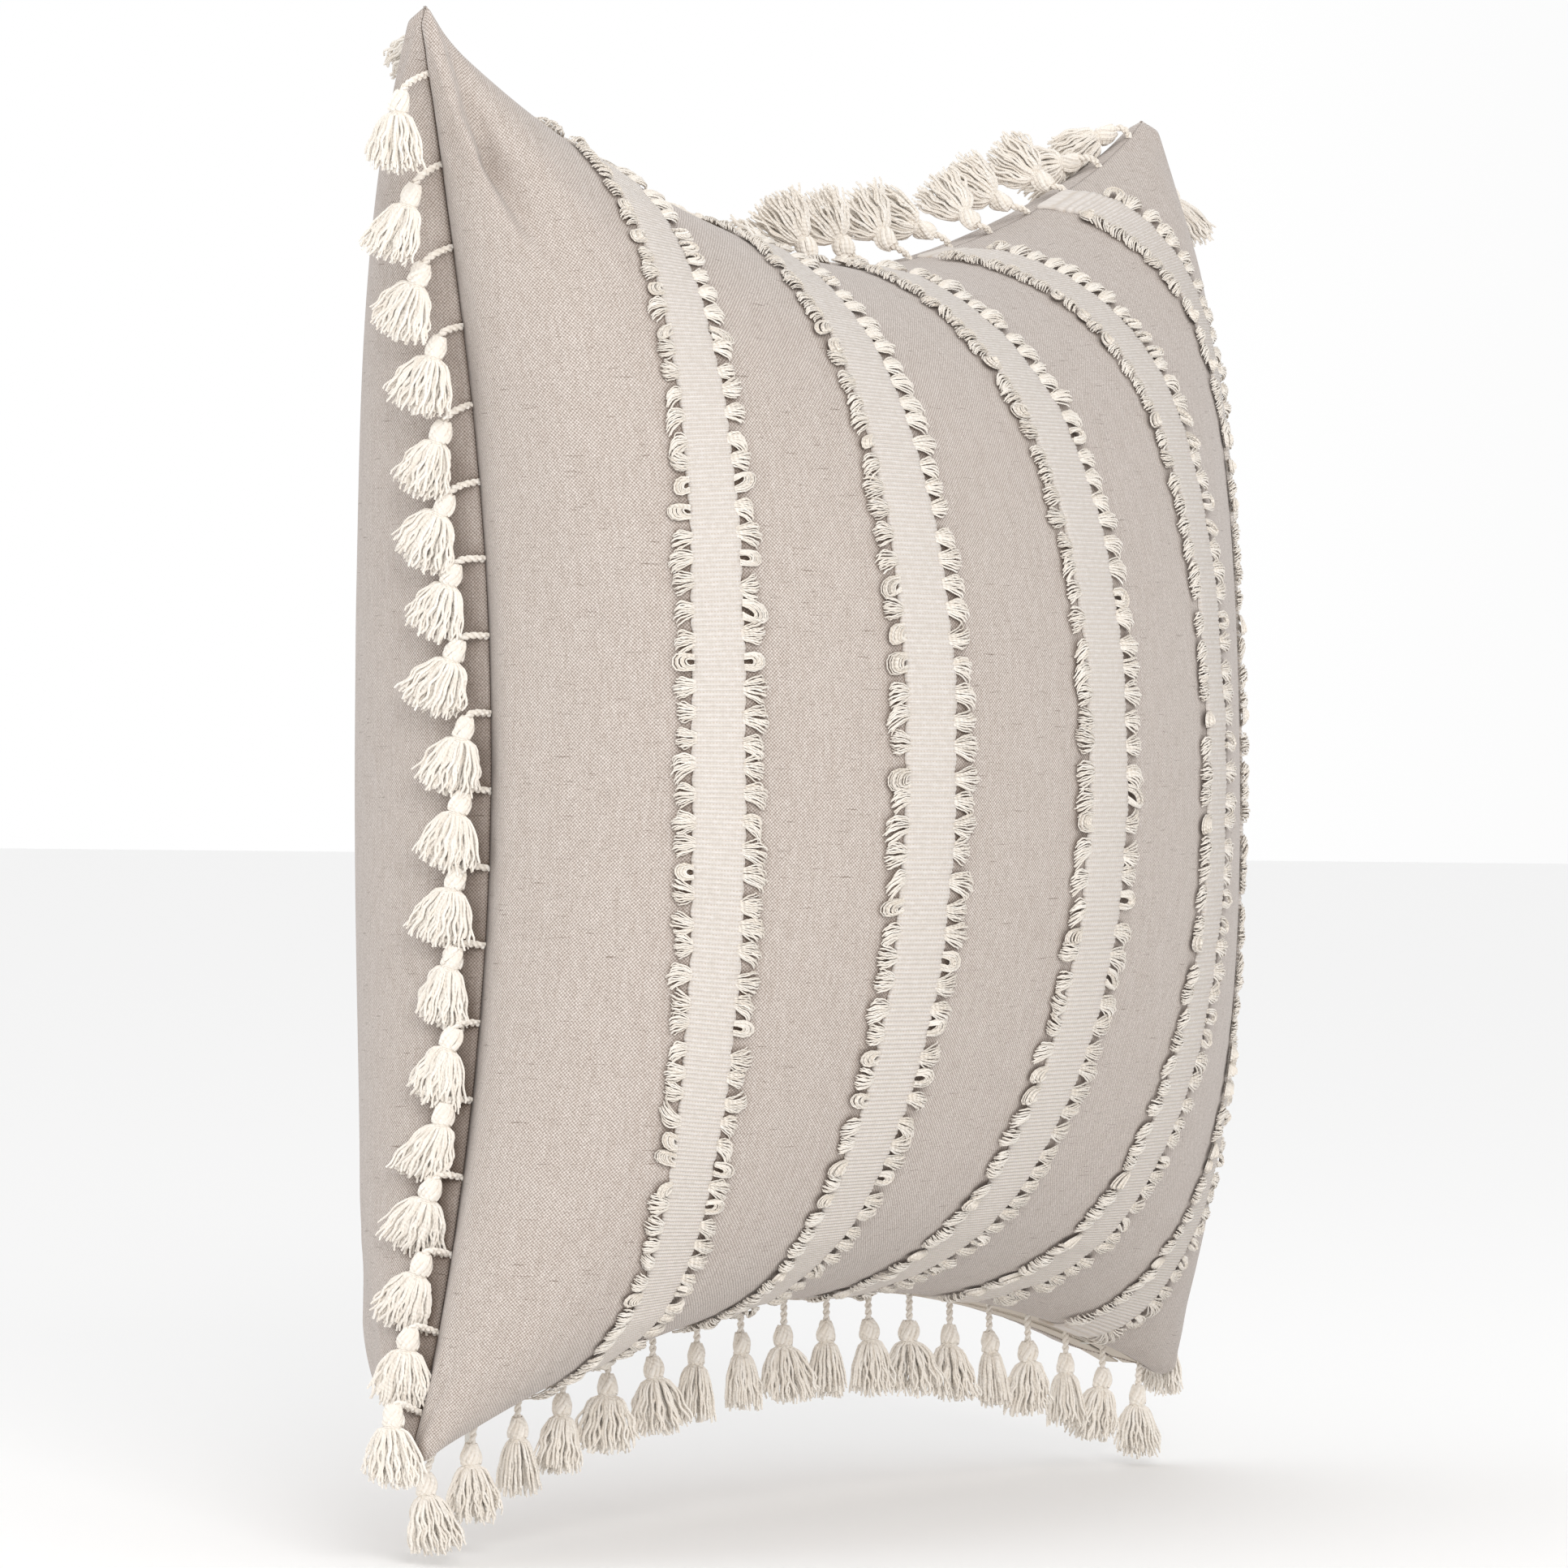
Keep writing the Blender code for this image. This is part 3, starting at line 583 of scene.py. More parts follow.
# Bleached cotton yarn: soft two-ply, slightly cream. Each ply shows as a slanting highlight and the whole
# is matt, and light that passes between the yarns warms the hollows.
PLY_MM = 1.5
yarn_finish, shader = new_finish("ivory two-ply cotton yarn")
flat = add_node(yarn_finish, "ShaderNodeAttribute", {"attribute_name": "flat"}).outputs["Vector"]
axes = add_node(yarn_finish, "ShaderNodeSeparateXYZ", {}, {0: flat})
slant = add_node(yarn_finish, "ShaderNodeMath", {"operation": "MULTIPLY_ADD", 1: 1 / PLY_MM},
                 {0: axes.outputs[0], 2: axes.outputs[1]})
phase = add_node(yarn_finish, "ShaderNodeMath", {"operation": "MULTIPLY", 1: math.tau},
                 {0: slant.outputs[0]})
ply = add_node(yarn_finish, "ShaderNodeMath", {"operation": "SINE"}, {0: phase.outputs[0]})
tint = add_node(yarn_finish, "ShaderNodeTexNoise", {"Scale": 0.09, "Detail": 2.0}, {"Vector": flat})
creams = add_node(yarn_finish, "ShaderNodeValToRGB", {"stops": ((0.3, "#e8dfd3"), (0.7, "#f7f2eb"))},
                  {0: tint.outputs[0]}).outputs[0]
yarn_bump = add_node(yarn_finish, "ShaderNodeBump", {"Strength": 0.5, "Distance": 0.0002},
                     {"Height": ply.outputs[0]})
yarn_finish.node_tree.links.new(creams, shader.inputs["Base Color"])
yarn_finish.node_tree.links.new(yarn_bump.outputs[0], shader.inputs["Normal"])
shader.inputs["Roughness"].default_value = 0.9
shader.inputs["Specular IOR Level"].default_value = 0.25
shader.inputs["Sheen Weight"].default_value = 0.15
shader.inputs["Sheen Roughness"].default_value = 0.5

# Ribbed cotton band: the same yarn woven close. The ribs lie across it, and in the grooves between them
# the fine warp threads show as rows of short tan dashes.
DASH_MM = 1.25
band_finish, shader = new_finish("ivory ribbed cotton band")
flat = add_node(band_finish, "ShaderNodeAttribute", {"attribute_name": "flat"}).outputs["Vector"]
shift = add_node(band_finish, "ShaderNodeTexNoise", {"Scale": 0.35, "Detail": 2.0}, {"Vector": flat})
bent = add_node(band_finish, "ShaderNodeVectorMath", {"operation": "MULTIPLY_ADD", 1: (0.7, 0.5, 0.0)},
                {0: shift.outputs["Color"], 2: flat})
axes = add_node(band_finish, "ShaderNodeSeparateXYZ", {}, {0: bent.outputs[0]})
dash_turn = add_node(band_finish, "ShaderNodeMath", {"operation": "MULTIPLY", 1: math.tau / DASH_MM},
                     {0: axes.outputs[0]})
rib_turn = add_node(band_finish, "ShaderNodeMath", {"operation": "MULTIPLY", 1: math.tau / RIB_MM},
                    {0: axes.outputs[1]})
dash_wave = add_node(band_finish, "ShaderNodeMath", {"operation": "SINE"}, {0: dash_turn.outputs[0]})
rib_wave = add_node(band_finish, "ShaderNodeMath", {"operation": "COSINE"}, {0: rib_turn.outputs[0]})
dashes = add_node(band_finish, "ShaderNodeMapRange", {1: -0.5, 2: 0.3, 3: 0.25, 4: 1.0},
                  {0: dash_wave.outputs[0]})
groove = add_node(band_finish, "ShaderNodeMapRange", {1: -0.35, 2: -0.9, 3: 0.0, 4: 1.0},
                  {0: rib_wave.outputs[0]})
uneven = add_node(band_finish, "ShaderNodeTexNoise", {"Scale": 0.5, "Detail": 3.0, "Roughness": 0.65},
                  {"Vector": flat})
strength = add_node(band_finish, "ShaderNodeMapRange", {1: 0.3, 2: 0.7, 3: 0.3, 4: 0.9},
                    {0: uneven.outputs[0]})
dashed = add_node(band_finish, "ShaderNodeMath", {"operation": "MULTIPLY"},
                  {0: dashes.outputs[0], 1: groove.outputs[0]})
dark = add_node(band_finish, "ShaderNodeMath", {"operation": "MULTIPLY"},
                {0: dashed.outputs[0], 1: strength.outputs[0]})
band_creams = add_node(band_finish, "ShaderNodeValToRGB", {"stops": ((0.3, "#d5cdc5"), (0.7, "#e3ddd8"))},
                       {0: uneven.outputs[0]}).outputs[0]
dotted = add_node(band_finish, "ShaderNodeMix", {"data_type": "RGBA", "blend_type": "MIX",
                                                 7: linear("#c3b4a3")},
                  {0: dark.outputs[0], 6: band_creams})
band_bump = add_node(band_finish, "ShaderNodeBump", {"Strength": 0.6, "Distance": 0.0004},
                     {"Height": rib_wave.outputs[0]})
band_finish.node_tree.links.new(dotted.outputs[2], shader.inputs["Base Color"])
band_finish.node_tree.links.new(band_bump.outputs[0], shader.inputs["Normal"])
shader.inputs["Roughness"].default_value = 0.92
shader.inputs["Specular IOR Level"].default_value = 0.25
shader.inputs["Sheen Weight"].default_value = 0.1


def on_front(across_mm, up_mm, raise_mm):
    """Points over the front panel from flat places and a height over it, all in millimetres."""
    across = np.clip(across_mm / (SIDE_MM / 2), -1, 1)
    up = np.clip(up_mm / (SIDE_MM / 2), -1, 1)
    points, _, _, out = surface_frame(cover[0], across, up, -1)
    return points + out * (np.asarray(raise_mm)[..., None] / 1000)


def band_tape(middle_mm, rng):
    """The woven part: ribs across it, rounded selvedges, and a slight wander of its edges."""
    half_width = BAND_WIDTH_MM / 2
    length = SIDE_MM - 1.0
    rows = int(length / RIB_MM) * 4
    ends = SIDE_MM / 2 * (1 - np.array(TAPE_END_ROWS))
    up = np.concatenate([-ends[::-1], np.linspace(-length / 2, length / 2, rows), ends])
    rows = len(up)
    across_share = np.array([-1.0, -1.0, -0.96, -0.80, -0.3, 0.3, 0.80, 0.96, 1.0, 1.0])
    height_share = np.array([-0.25, 0.35, 0.85, 1.0, 1.0, 1.0, 1.0, 0.85, 0.35, -0.25])
    wander = 0.35 * np.sin(up / 23 + rng.uniform(0, 6)) + 0.25 * np.sin(up / 7.3 + rng.uniform(0, 6))
    knots = np.linspace(-length / 2, length / 2, 60)
    lift = np.interp(up, knots, rng.normal(0, 0.22, 60))
    ribs = RIB_DEPTH_MM * np.cos(math.tau * up / RIB_MM)
    pinch = 0.4 * np.cos(math.tau * up / BUNCH_PITCH_MM)
    across = middle_mm + wander[:, None] + across_share * (half_width + pinch[:, None])
    height = height_share * BAND_THICK_MM + BAND_RAISE_MM
    height = height[None] + (ribs + lift)[:, None] * (height_share > 0.5)
    ups = np.repeat(up[:, None], len(across_share), axis=1)
    points = on_front(across, ups, height)
    places = np.stack([across - middle_mm, ups, np.full_like(ups, middle_mm)], axis=-1)
    return points.reshape(-1, 3), grid_faces(rows, len(across_share)), places.reshape(-1, 3)


def band_bunches(middle_mm, edge, rng):
    """Bunches of yarn along one edge.

    A fanned bunch spreads and droops; a looped one turns back round a small hole.
    """
    paths = []
    radii = []
    outs = []
    t = np.linspace(0, 1, 8)
    for bunch in range(int(SIDE_MM / BUNCH_PITCH_MM)):
        centre = (bunch + 0.5) * BUNCH_PITCH_MM - SIDE_MM / 2 + 2.0 + rng.normal(0, 0.9)
        reach = rng.uniform(6.2, 9.2)
        tall = rng.uniform(3.3, 4.5)
        droop = rng.normal(-1.0, 1.5)
        dome = rng.uniform(1.4, 2.8)
        looped = rng.random() < 0.22
        fan = np.linspace(-1, 1, BUNCH_YARNS) + rng.normal(0, 0.05, BUNCH_YARNS)
        across = (middle_mm + edge * (BAND_WIDTH_MM / 2 + 4)) / (SIDE_MM / 2)
        up = np.clip(centre / (SIDE_MM / 2), -1, 1)
        outs += [surface_frame(cover[0], across, up, -1)[3]] * BUNCH_YARNS
        for yarn in range(BUNCH_YARNS):
            f = fan[yarn]
            layer = yarn % 2 * 0.45
            if looped:
                size = (0.34 + 0.66 * (yarn + 0.5) / BUNCH_YARNS) * rng.uniform(0.88, 1.1)
                turn = math.pi * t
                outward = -0.6 + (reach * size + 0.6) * np.sin(turn) ** 0.8
                rise = centre - tall * size * np.cos(turn) * (0.65 + 0.45 * np.sin(turn))
                rise = rise + droop * np.sin(turn)
                height = 0.5 + layer + dome * np.sin(turn) ** 0.8 * (1 - 0.7 * size**2)
                height = height + rng.uniform(0, 1.0)
            else:
                length = reach * (1 - 0.22 * f * f) * rng.uniform(0.86, 1.06)
                outward = -1.2 + (length + 1.2) * np.sin(t * math.pi / 2) ** 0.9
                spread = np.sin(t * math.pi * 0.62) ** 0.8
                rise = centre + f * (1.5 + (tall - 1.5) * spread) + droop * t**2 + rng.normal(0, 0.35) * t
                height = 0.45 + layer + dome * np.sin(math.pi * t**0.8) ** 0.8 * (1 - 0.55 * f * f)
                height = height + rng.uniform(0, 0.5) * t
            wave = 0.16 * np.sin(t * rng.uniform(9, 14) + rng.uniform(0, 6))
            paths.append(on_front(middle_mm + edge * (BAND_WIDTH_MM / 2 + outward), rise + wave, height))
            radii.append(BUNCH_YARN_MM / 2000 * rng.uniform(0.85, 1.15) * (1 - 0.3 * t**4 * (not looped)))
    return tubes(paths, radii, 3, outs)


for number in range(BAND_COUNT):
    rng = np.random.default_rng(40 + number)
    middle_mm = ((number + 1) / (BAND_COUNT + 1) - 0.5) * SIDE_MM
    tape_points, tape_faces, tape_places = band_tape(middle_mm, rng)
    bunches = joined([band_bunches(middle_mm, -1, rng), band_bunches(middle_mm, 1, rng)])
    tape = piece_of(f"band_{number + 1}", tape_points, tape_faces, band_finish, tape_places)
    edging = piece_of(f"band_{number + 1}_bunches", bunches[0], bunches[1], yarn_finish, bunches[2],
                      smooth=False)
    for piece in (tape, edging):
        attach(piece, "pillow")
    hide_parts(f"trim_band_{number + 1}")

# ---- Tassel fringe -------------------------------------------------------------------------------
# A cotton fringe in all four seams: a woven heading caught between the panels, and from it 18 tassels a
# side. Each is a short two-ply cord, a knotted head, a bound neck and a skirt of about ninety yarns, cut
# by hand and never quite even.

TASSEL_COUNT = 18
TASSEL_PITCH = math.radians(2.2803)  # along the seam's arc
CORD_MM = 1.5  # each ply's thickness
CORD_TURN_MM = 5.0
HEAD_MM = 3.5  # half the head's width
HEAD_LONG_MM = 6.5
SKIRT_YARNS = 92
SKIRT_YARN_MM = 1.1
SKIRT_LONG_MM = 19.5
SKIRT_HALF_MM = 12.2
GOLDEN_TURN = 2.39996  # the turn from yarn to yarn that fills a skirt evenly


def seam_place(way, angle):
    """A seam's point, with its ways out of the pillow and along; way is the side's outward X and Z."""
    outward = np.array([way[0], 0.0, way[1]])
    along = np.array([-way[1], 0.0, way[0]])
    run = seam_radius * math.sin(angle)
    point = outward * (half - bow(run)) + along * run + np.array([0.0, 0.0, middle_z])
    place = outward + along * run / half
    groove = side_groove(place[2]) if way[0] else top_groove(place[0]) * max(way[1], 0.0)
    point = point + ear_shift(place[0], place[2]) - outward * groove
    out = outward * math.cos(angle) - along * math.sin(angle)
    return point, out, along * math.cos(angle) + outward * math.sin(angle)


def unit(vector):
    return vector / np.linalg.norm(vector)


def twisted_cord(controls, rng):
    """Two plies twisted round a smooth curve through four control points."""
    t = np.linspace(0, 1, 17)[:, None]
    a, b, c, d = controls
    centre = (1 - t) ** 3 * a + 3 * (1 - t) ** 2 * t * b + 3 * (1 - t) * t**2 * c + t**3 * d
    along = np.gradient(centre, axis=0)
    along /= np.linalg.norm(along, axis=1, keepdims=True)
    side = np.cross(along, unit(np.cross(d - a, [0.3, 0.5, 0.8])))
    side /= np.linalg.norm(side, axis=1, keepdims=True)
    over = np.cross(along, side)
    run = np.concatenate([[0], np.cumsum(np.linalg.norm(np.diff(centre, axis=0), axis=1))]) * 1000
    turn = (math.tau * run / CORD_TURN_MM + rng.uniform(0, 6))[:, None]
    offset = (side * np.cos(turn) + over * np.sin(turn)) * CORD_MM / 2200
    radii = np.full((2, len(run)), CORD_MM / 2000)
    return tubes([centre + offset, centre - offset], radii, 6)


def tassel(top, down, wide, half_wide, half_thick, rng):
    """A head and skirt that hang along down from top, wider along wide than through."""
    down = unit(down)
    wide = unit(wide - down * np.dot(wide, down))
    face = np.cross(down, wide)

    def placed(x, y, z):
        return top + (x[..., None] * wide + y[..., None] * face + z[..., None] * down) / 1000

    forms = []
    # The head: yarns folded over the cord and pulled tight, so that they cross it at a slant.
    folds = 9
    s = np.linspace(0, 1, 8)[None]
    turn = (np.arange(folds) * math.tau / folds)[:, None] + s * rng.uniform(0.9, 1.6)
    bulge = 0.30 + 0.70 * np.sin(math.pi * (0.06 + 0.66 * s)) ** 0.8
    bulge = HEAD_MM * bulge * rng.uniform(0.75, 1.2, (folds, 1))
    forms.append(tubes(placed(bulge * np.cos(turn) * 0.82, bulge * np.sin(turn) * 0.7,
                              s * HEAD_LONG_MM - 0.6 + 0 * turn),
                       np.full((folds, 8), 0.00105), 6))
    core_z = np.array([[0.2, 1.5, 3.2, 5.0, 6.2]])
    core_radius = np.array([[0.9, 2.1, 2.4, 2.0, 1.7]]) / 1000
    forms.append(tubes(placed(0 * core_z, 0 * core_z, core_z), core_radius, 8))
    # The neck: three turns of yarn.
    round_neck = np.linspace(0, 3 * math.tau, 40)[None]
    neck_z = HEAD_LONG_MM - 0.9 + round_neck / (3 * math.tau) * 2.2
    neck = placed(2.9 * np.cos(round_neck), 2.5 * np.sin(round_neck), neck_z)
    forms.append(tubes(neck, np.full((1, 40), 0.00042), 4, down))
    # The skirt: each yarn leaves the neck, swings out to its own place and ends at its own length.
    count = SKIRT_YARNS
    share = np.sqrt((np.arange(count) + 0.5) / count)[:, None]
    turn = (np.arange(count) * GOLDEN_TURN)[:, None] + rng.normal(0, 0.15, (count, 1))
    s = np.linspace(0, 1, 12)[None]
    length = SKIRT_LONG_MM * rng.uniform(0.86, 1.07, (count, 1))
    flare = s**0.48
    lean = rng.normal(0, 0.10)
    end_x = half_wide * share * np.cos(turn)
    end_y = half_thick * share * np.sin(turn)
    pace = rng.uniform(1.2, 1.9, (count, 1))
    crimp = rng.uniform(0.25, 0.95, (count, 1))
    crimp = crimp * np.sin(s * length / pace + rng.uniform(0, 6, (count, 1)))
    x = (2.3 * share * np.cos(turn)) * (1 - flare) + end_x * flare + lean * length * s + crimp * s**0.5
    y = (2.0 * share * np.sin(turn)) * (1 - flare) + end_y * flare
    y = y + 0.5 * crimp * np.cos(s * 7 + turn) * s**0.5
    z = HEAD_LONG_MM + 0.2 + s * np.sqrt(np.maximum(length**2 - end_x**2 * 0.75 - end_y**2 * 0.5, 60.0))
    radii = SKIRT_YARN_MM / 2000 * rng.uniform(0.8, 1.15, (count, 1)) * (1 - 0.35 * s**6)
    forms.append(tubes(placed(x, y, z), radii, 5))
    return forms


def heading_strip(way, most_angle, outside):
    """The fringe's woven heading along one seam, from inside to just short of the stitching."""
    angles = np.linspace(-most_angle, most_angle, 91)
    rows = []
    places = []
    section = [(outside, 0.30), (outside - 0.0004, 0.42), (-0.0040, 0.45), (-0.0075, 0.40), (-0.0080, 0.0),
               (-0.0075, -0.40), (-0.0040, -0.45), (outside - 0.0004, -0.42), (outside, -0.30)]
    for angle in angles:
        point, out, _ = seam_place(way, angle)
        for reach, side in section:
            rows.append(point + out * reach + np.array([0.0, side / 1000, 0.0]))
            places.append((reach * 1000, angle * seam_radius * 1000, side))
    count = len(section)
    faces = []
    for row in range(len(angles) - 1):
        for k in range(count):
            after = (k + 1) % count
            low, high = row * count, (row + 1) * count
            faces.append([low + k, low + after, high + after, high + k])
    faces.append(list(range(count))[::-1])
    faces.append([(len(angles) - 1) * count + k for k in range(count)])
    return np.array(rows), faces, np.array(places)


UP = np.array([0.0, 0.0, 1.0])
BACK = np.array([0.0, 1.0, 0.0])
HEADING_ANGLE = math.radians(19.6)
angles = (np.arange(TASSEL_COUNT) - (TASSEL_COUNT - 1) / 2) * TASSEL_PITCH

# The sides' tassels fall down and back over the back panel. The top's stand up along the left part of the
# seam and lie back over the back panel elsewhere. All are a little ruffled.
TOP_STANDING = (0.05, 0.78)  # between these shares of the way to the left corner
for name, way, seed in (("left", (-1.0, 0.0), 5), ("top", (0.0, 1.0), 6), ("right", (1.0, 0.0), 7)):
    rng = np.random.default_rng(seed)
    forms = []
    for angle in angles:
        point, out, along = seam_place(way, angle)
        if name == "top":
            share = -angle / angles[-1]
            if TOP_STANDING[0] < share < TOP_STANDING[1]:
                head = point + out * rng.uniform(0.003, 0.006) + BACK * rng.uniform(0.001, 0.005)
                head = head + along * 0.006
                down = BACK * 0.5 + UP * rng.uniform(0.35, 0.9) + along * rng.uniform(-0.1, 0.6)
            else:
                place = -seam_radius * math.sin(angle) / half
                near, _, _, lift = surface_frame(cover[1], place, rng.uniform(0.995, 0.998), 1)
                head = near + lift * 0.0050
                down = sample(cover[1], place, 0.96) + lift * 0.0080 - head + along * rng.normal(0, 0.003)
            wide = np.cross(down, [0.8, 0.6, 0.0])
            bend = head - unit(down) * 0.004 + out * 0.001
        else:
            corner = abs(angle / angles[-1]) ** 6
            spread = name == "right" and angle > 0
            splay = 0.10 * rng.uniform(0.4, 1.6) + (1.4 * corner if spread else 0.0)
            tucked = 1 - (2.0 if spread else 0.7) * corner
            head = point + out * (0.0095 + 0.004 * corner) + BACK * rng.uniform(0.002, 0.006) * tucked
            head = head - UP * rng.uniform(0.001, 0.005)
            lean = math.radians(rng.uniform(8, 34) * tucked)
            down = -UP * math.cos(lean) + BACK * math.sin(lean) + out * splay
            wide = BACK + out * 0.25
            bend = head + UP * 0.004
        cord = [point - out * 0.002, point + out * 0.003, bend, head + unit(down) * 0.001]
        forms.append(twisted_cord(cord, rng))
        forms += tassel(head, down, wide, SKIRT_HALF_MM * rng.uniform(0.85, 1.12),
                        rng.uniform(5.5, 7.5) if name == "top" else rng.uniform(3.6, 4.6), rng)
    fringe = joined(forms)
    fringe_piece = piece_of(f"tassels_{name}", fringe[0], fringe[1], yarn_finish, fringe[2], smooth=False)
    strip = heading_strip(way, HEADING_ANGLE, -0.0014)
    strip_piece = piece_of(f"heading_{name}", strip[0], strip[1], band_finish, strip[2], smooth=False)
    for piece in (fringe_piece, strip_piece):
        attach(piece, "pillow")
    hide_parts(f"fringe_{name}")

strip = heading_strip((0.0, -1.0), HEADING_ANGLE, -0.0014)
strip_piece = piece_of("heading_bottom", strip[0], strip[1], band_finish, strip[2], smooth=False)
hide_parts("fringe_bottom_heading")
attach(strip_piece, "pillow")

# The bottom's tassels hang free, each from its own cord, which bends at the seam.
for number in range(TASSEL_COUNT):
    rng = np.random.default_rng(80 + number)
    low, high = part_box(f"bottom_tassel_{number + 1:02d}")
    hinge = np.array([(low[0] + high[0]) / 2, (low[1] + high[1]) / 2, high[2]])
    angle = math.asin(hinge[0] / seam_radius)
    point, out, along = seam_place((0.0, -1.0), angle)
    head = hinge + np.array([0.0, 0.0, -0.0080])
    down = -UP + np.array([rng.normal(0, 0.07), rng.normal(0, 0.07), 0.0])
    face_turn = rng.normal(0, 0.5)
    wide = np.array([math.cos(face_turn), math.sin(face_turn), 0.0])
    cord = [point - out * 0.002, point + out * 0.002, head + UP * 0.003, head + unit(down) * 0.001]
    forms = [twisted_cord(cord, rng)]
    forms += tassel(head, down, wide, SKIRT_HALF_MM * rng.uniform(0.85, 1.05), rng.uniform(6.0, 8.0), rng)
    hanging = joined(forms)
    piece = piece_of(f"tassel_hanging_{number + 1:02d}", hanging[0], hanging[1], yarn_finish, hanging[2],
                     smooth=False)
    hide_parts(f"bottom_tassel_{number + 1:02d}")
    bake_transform(piece)

# ---- Zipper --------------------------------------------------------------------------------------
# A small nylon coil zipper hidden behind the bottom seam: two woven tapes, a moulded coil on each, metal
# stops at the ends, and a die-cast slider with a flat tab. It opens the cover so that the insert can come
# out.

ZIP_BEHIND = 0.0102
ZIP_HALF_ANGLE = math.radians(7.55 * 2.2803)
COIL_HALF = 0.0009
COIL_APART = 0.0007
TAPE_THICK = 0.0006
TAPE_REACH = 0.0088  # from the zipper's middle to a tape's outer edge
COIL_PITCH = 0.0011
TAPE_TAIL = math.radians(2.2)  # each tape runs on past its coil, tucked in behind the seam
TAIL_TUCK = 0.0004

tape_finish, shader = new_finish("polyester zipper tape")
flat = add_node(tape_finish, "ShaderNodeAttribute", {"attribute_name": "flat"}).outputs["Vector"]
cords = add_node(tape_finish, "ShaderNodeTexWave", {"Scale": 0.5, "Distortion": 0.6}, {"Vector": flat})
tape_tones = add_node(tape_finish, "ShaderNodeValToRGB", {"stops": ((0.0, "#c9bdae"), (1.0, "#ded5c9"))},
                      {0: cords.outputs[0]}).outputs[0]
tape_bump = add_node(tape_finish, "ShaderNodeBump", {"Strength": 0.4, "Distance": 0.0002},
                     {"Height": cords.outputs[0]})
tape_finish.node_tree.links.new(tape_tones, shader.inputs["Base Color"])
tape_finish.node_tree.links.new(tape_bump.outputs[0], shader.inputs["Normal"])
shader.inputs["Roughness"].default_value = 0.7

# Zinc, die cast and nickel plated: bright, with the faint grain and softened edges of small castings.
nickel, shader = new_finish("nickel plated zinc")
place = add_node(nickel, "ShaderNodeTexCoord").outputs["Object"]
cast = add_node(nickel, "ShaderNodeTexNoise", {"Scale": 900.0, "Detail": 3.0}, {"Vector": place})
dull = add_node(nickel, "ShaderNodeMapRange", {1: 0.3, 2: 0.7, 3: 0.22, 4: 0.38}, {0: cast.outputs[0]})
cast_bump = add_node(nickel, "ShaderNodeBump", {"Strength": 0.08, "Distance": 0.0001},
                     {"Height": cast.outputs[0]})
nickel.node_tree.links.new(dull.outputs[0], shader.inputs["Roughness"])
nickel.node_tree.links.new(cast_bump.outputs[0], shader.inputs["Normal"])
shader.inputs["Base Color"].default_value = linear("#c9c5bd")
shader.inputs["Metallic"].default_value = 1.0


def zip_place(angle, sideways, inside):
    """A place on the zipper: its angle along the arc, how far behind its middle and how deep inside."""
    point = np.array([-math.sin(angle), 0.0, -math.cos(angle)])
    arc_middle = middle_z - (half - SEAM_PULL_IN + seam_radius)
    return np.array([0.0, ZIP_BEHIND + sideways, arc_middle]) - point * seam_radius - point * inside


for name, node, facing in (("zip_tape_front", "zipper_front_half", -1),
                           ("zip_tape_back", "zipper_back_half", 1)):
    section = [(TAPE_REACH, 0.0), (TAPE_REACH, TAPE_THICK), (COIL_APART + 0.0004, TAPE_THICK),
               (COIL_APART + 0.0004, 0.0)]
    stations = np.linspace(-ZIP_HALF_ANGLE - TAPE_TAIL, ZIP_HALF_ANGLE + TAPE_TAIL, 135)
    tuck = TAIL_TUCK * np.clip((np.abs(stations) - ZIP_HALF_ANGLE) / TAPE_TAIL * 4, 0, 1)
    drift = ear_shift(np.sin(stations) * seam_radius / half, -np.ones_like(stations))
    drift = drift * (tuck / TAIL_TUCK)[:, None]
    points = [zip_place(angle, facing * sideways, inside + deeper) + aside
              for angle, deeper, aside in zip(stations, tuck, drift) for sideways, inside in section]
    places = [(angle * seam_radius * 1000, sideways * 1000, inside)
              for angle in stations for sideways, inside in section]
    faces = []
    for row in range(len(stations) - 1):
        for k in range(4):
            after = (k + 1) % 4
            face = [row * 4 + k, row * 4 + after, row * 4 + 4 + after, row * 4 + 4 + k]
            faces.append(face if facing < 0 else face[::-1])
    ends = [[3, 2, 1, 0], [len(stations) * 4 - 4 + k for k in range(4)]]
    faces += ends if facing < 0 else [end[::-1] for end in ends]
    turns = int(2 * ZIP_HALF_ANGLE * seam_radius / COIL_PITCH)
    coil = []
    for step in range(turns * 10 + 1):
        turn = step / 10 * math.tau
        angle = -ZIP_HALF_ANGLE + 2 * ZIP_HALF_ANGLE * step / (turns * 10)
        across_coil = COIL_APART + COIL_HALF * (1 - 0.8 * math.cos(turn))
        coil.append(zip_place(angle, facing * across_coil, 0.0003 + 0.55 * COIL_HALF * math.sin(turn)))
    coiled = tubes([coil], np.full((1, len(coil)), 0.00022), 4)
    whole = joined([(np.array(points), faces, np.array(places)), coiled])
    piece = piece_of(name, whole[0], whole[1], tape_finish, whole[2], smooth=False)
    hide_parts(node)
    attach(piece, "pillow")


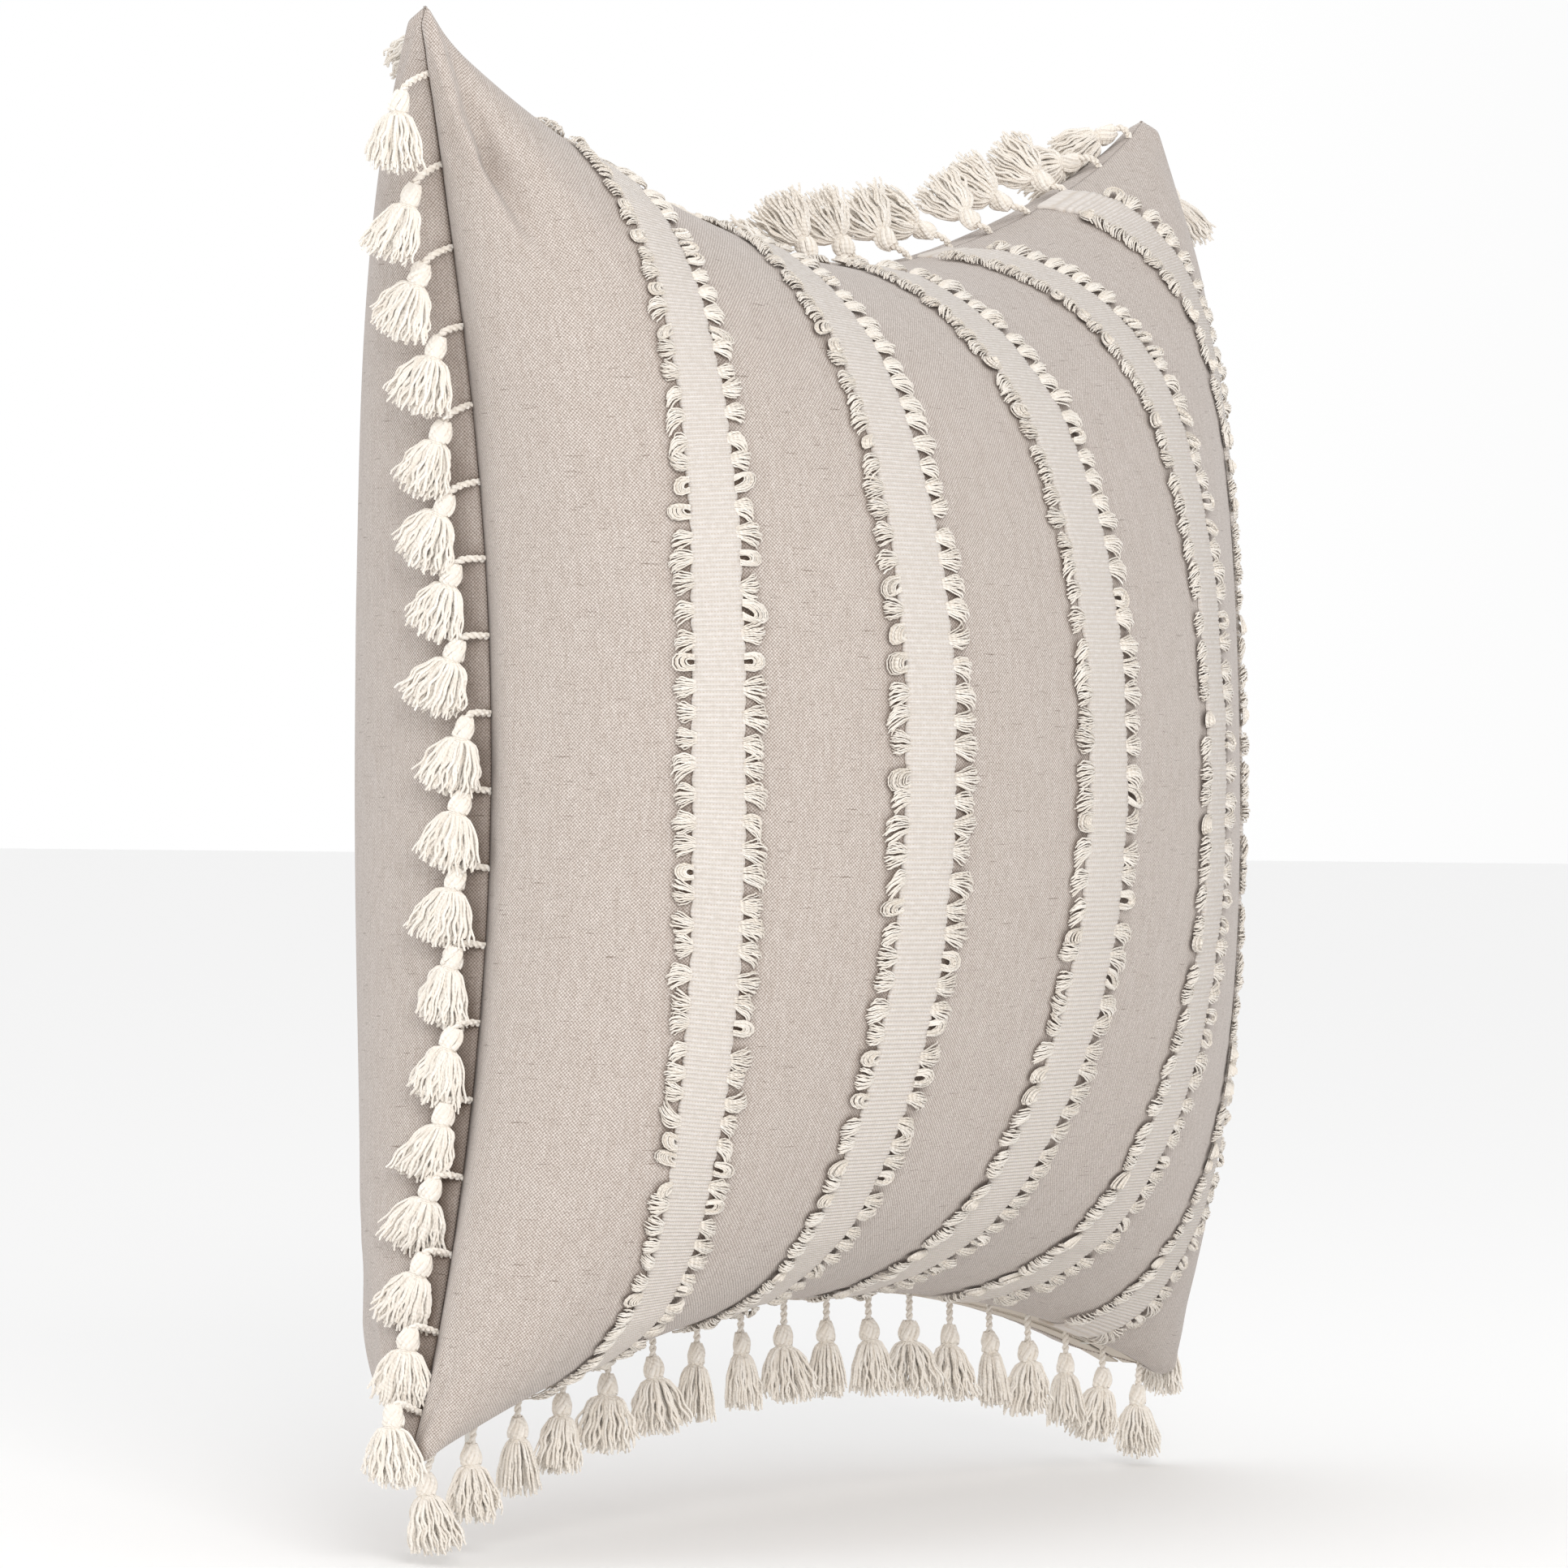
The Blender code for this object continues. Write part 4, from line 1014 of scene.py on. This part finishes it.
def rounded_copy(node, name, edge):
    """A small casting: the plain solid with its edges softened."""
    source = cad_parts[node]
    mesh = source.data.copy()
    mesh.materials.clear()
    mesh.materials.append(nickel)
    form = bmesh.new()
    form.from_mesh(mesh)
    bmesh.ops.remove_doubles(form, verts=form.verts, dist=1e-5)
    bmesh.ops.dissolve_limit(form, angle_limit=0.05, verts=form.verts, edges=form.edges)
    form.to_mesh(mesh)
    form.free()
    thing = bpy.data.objects.new(name, mesh)
    bpy.context.scene.collection.objects.link(thing)
    soft = thing.modifiers.new("softened edges", "BEVEL")
    soft.width = edge
    soft.segments = 3
    soft.limit_method = "ANGLE"
    mesh.shade_smooth()
    return thing


castings = (
    ("zipper_bottom_stop", "pillow", 0.0003),
    ("zipper_top_stop_front", "pillow", 0.0003),
    ("zipper_top_stop_back", "pillow", 0.0003),
    ("zipper_slider", "zipper_slider", 0.00025),
    ("zipper_pull", "zipper_pull", 0.00018),
)
for node, body, edge in castings:
    piece = rounded_copy(node, "cast_" + node.removeprefix("zipper_"), edge)
    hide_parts(node)
    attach(piece, body)

# ---- Stage ---------------------------------------------------------------------------------------
# A plain pale floor that runs far out on every side, two large soft lights and a white sky.

FLOOR_HALF = 14.0
floor_mesh = bpy.data.meshes.new("floor")
corners = [(x * FLOOR_HALF, y * FLOOR_HALF, -0.002) for x, y in ((-1, -1), (1, -1), (1, 1), (-1, 1))]
floor_mesh.from_pydata(corners, [], [(0, 1, 2, 3)])
floor = bpy.data.objects.new("floor", floor_mesh)
bpy.context.scene.collection.objects.link(floor)
pale, shader = new_finish("pale studio floor")
shader.inputs["Base Color"].default_value = linear("#ffffff")
shader.inputs["Roughness"].default_value = 0.9
floor.data.materials.append(pale)

# The sky is white, and falls off to one side so that the pillow's far half is a little darker.
sky = bpy.data.worlds.new("soft sky")
sky.use_nodes = True
background = sky.node_tree.nodes["Background"]
look = add_node(sky, "ShaderNodeTexCoord").outputs["Generated"]
side_share = add_node(sky, "ShaderNodeVectorMath", {"operation": "DOT_PRODUCT", 1: (0.62, -0.78, 0.0)},
                      {0: look})
falloff = add_node(sky, "ShaderNodeMapRange", {1: 0.1, 2: 0.95, 3: 1.0, 4: 0.48},
                   {0: side_share.outputs["Value"]})
sky.node_tree.links.new(falloff.outputs[0], background.inputs["Strength"])
background.inputs["Color"].default_value = (1.0, 1.0, 1.0, 1.0)
bpy.context.scene.world = sky


def soft_light(name, place, aim, width, power, tint):
    lamp = bpy.data.lights.new(name, "AREA")
    lamp.shape = "SQUARE"
    lamp.size = width
    lamp.energy = power
    lamp.color = tint
    holder = bpy.data.objects.new(name, lamp)
    bpy.context.scene.collection.objects.link(holder)
    holder.location = place
    holder.rotation_euler = (Vector(aim) - Vector(place)).to_track_quat("-Z", "Y").to_euler()


middle = (0.0, 0.0, middle_z)
soft_light("key light", (-2.0, -2.2, 1.3), middle, 1.2, 38, (1.0, 0.99, 0.975))
soft_light("fill light", (-0.4, -2.8, 0.2), middle, 1.6, 3, (1.0, 1.0, 1.0))

# The camera stands at the pillow's height, well off to its left, with a long lens.
VIEW_ANGLE = math.radians(-54.24)
DISTANCE = 2.726
eye = bpy.data.cameras.new("camera")
eye.lens = 173.9
eye.sensor_width = 36.0
eye.shift_x = -0.0135
eye.shift_y = -0.0200
eye.clip_end = 60
camera = bpy.data.objects.new("camera", eye)
bpy.context.scene.collection.objects.link(camera)
camera.location = (DISTANCE * math.sin(VIEW_ANGLE), -DISTANCE * math.cos(VIEW_ANGLE), middle_z)
camera.rotation_euler = (math.pi / 2, 0, VIEW_ANGLE)
bpy.context.scene.camera = camera
bpy.context.scene.view_settings.view_transform = "Standard"

bpy.context.view_layer.update()
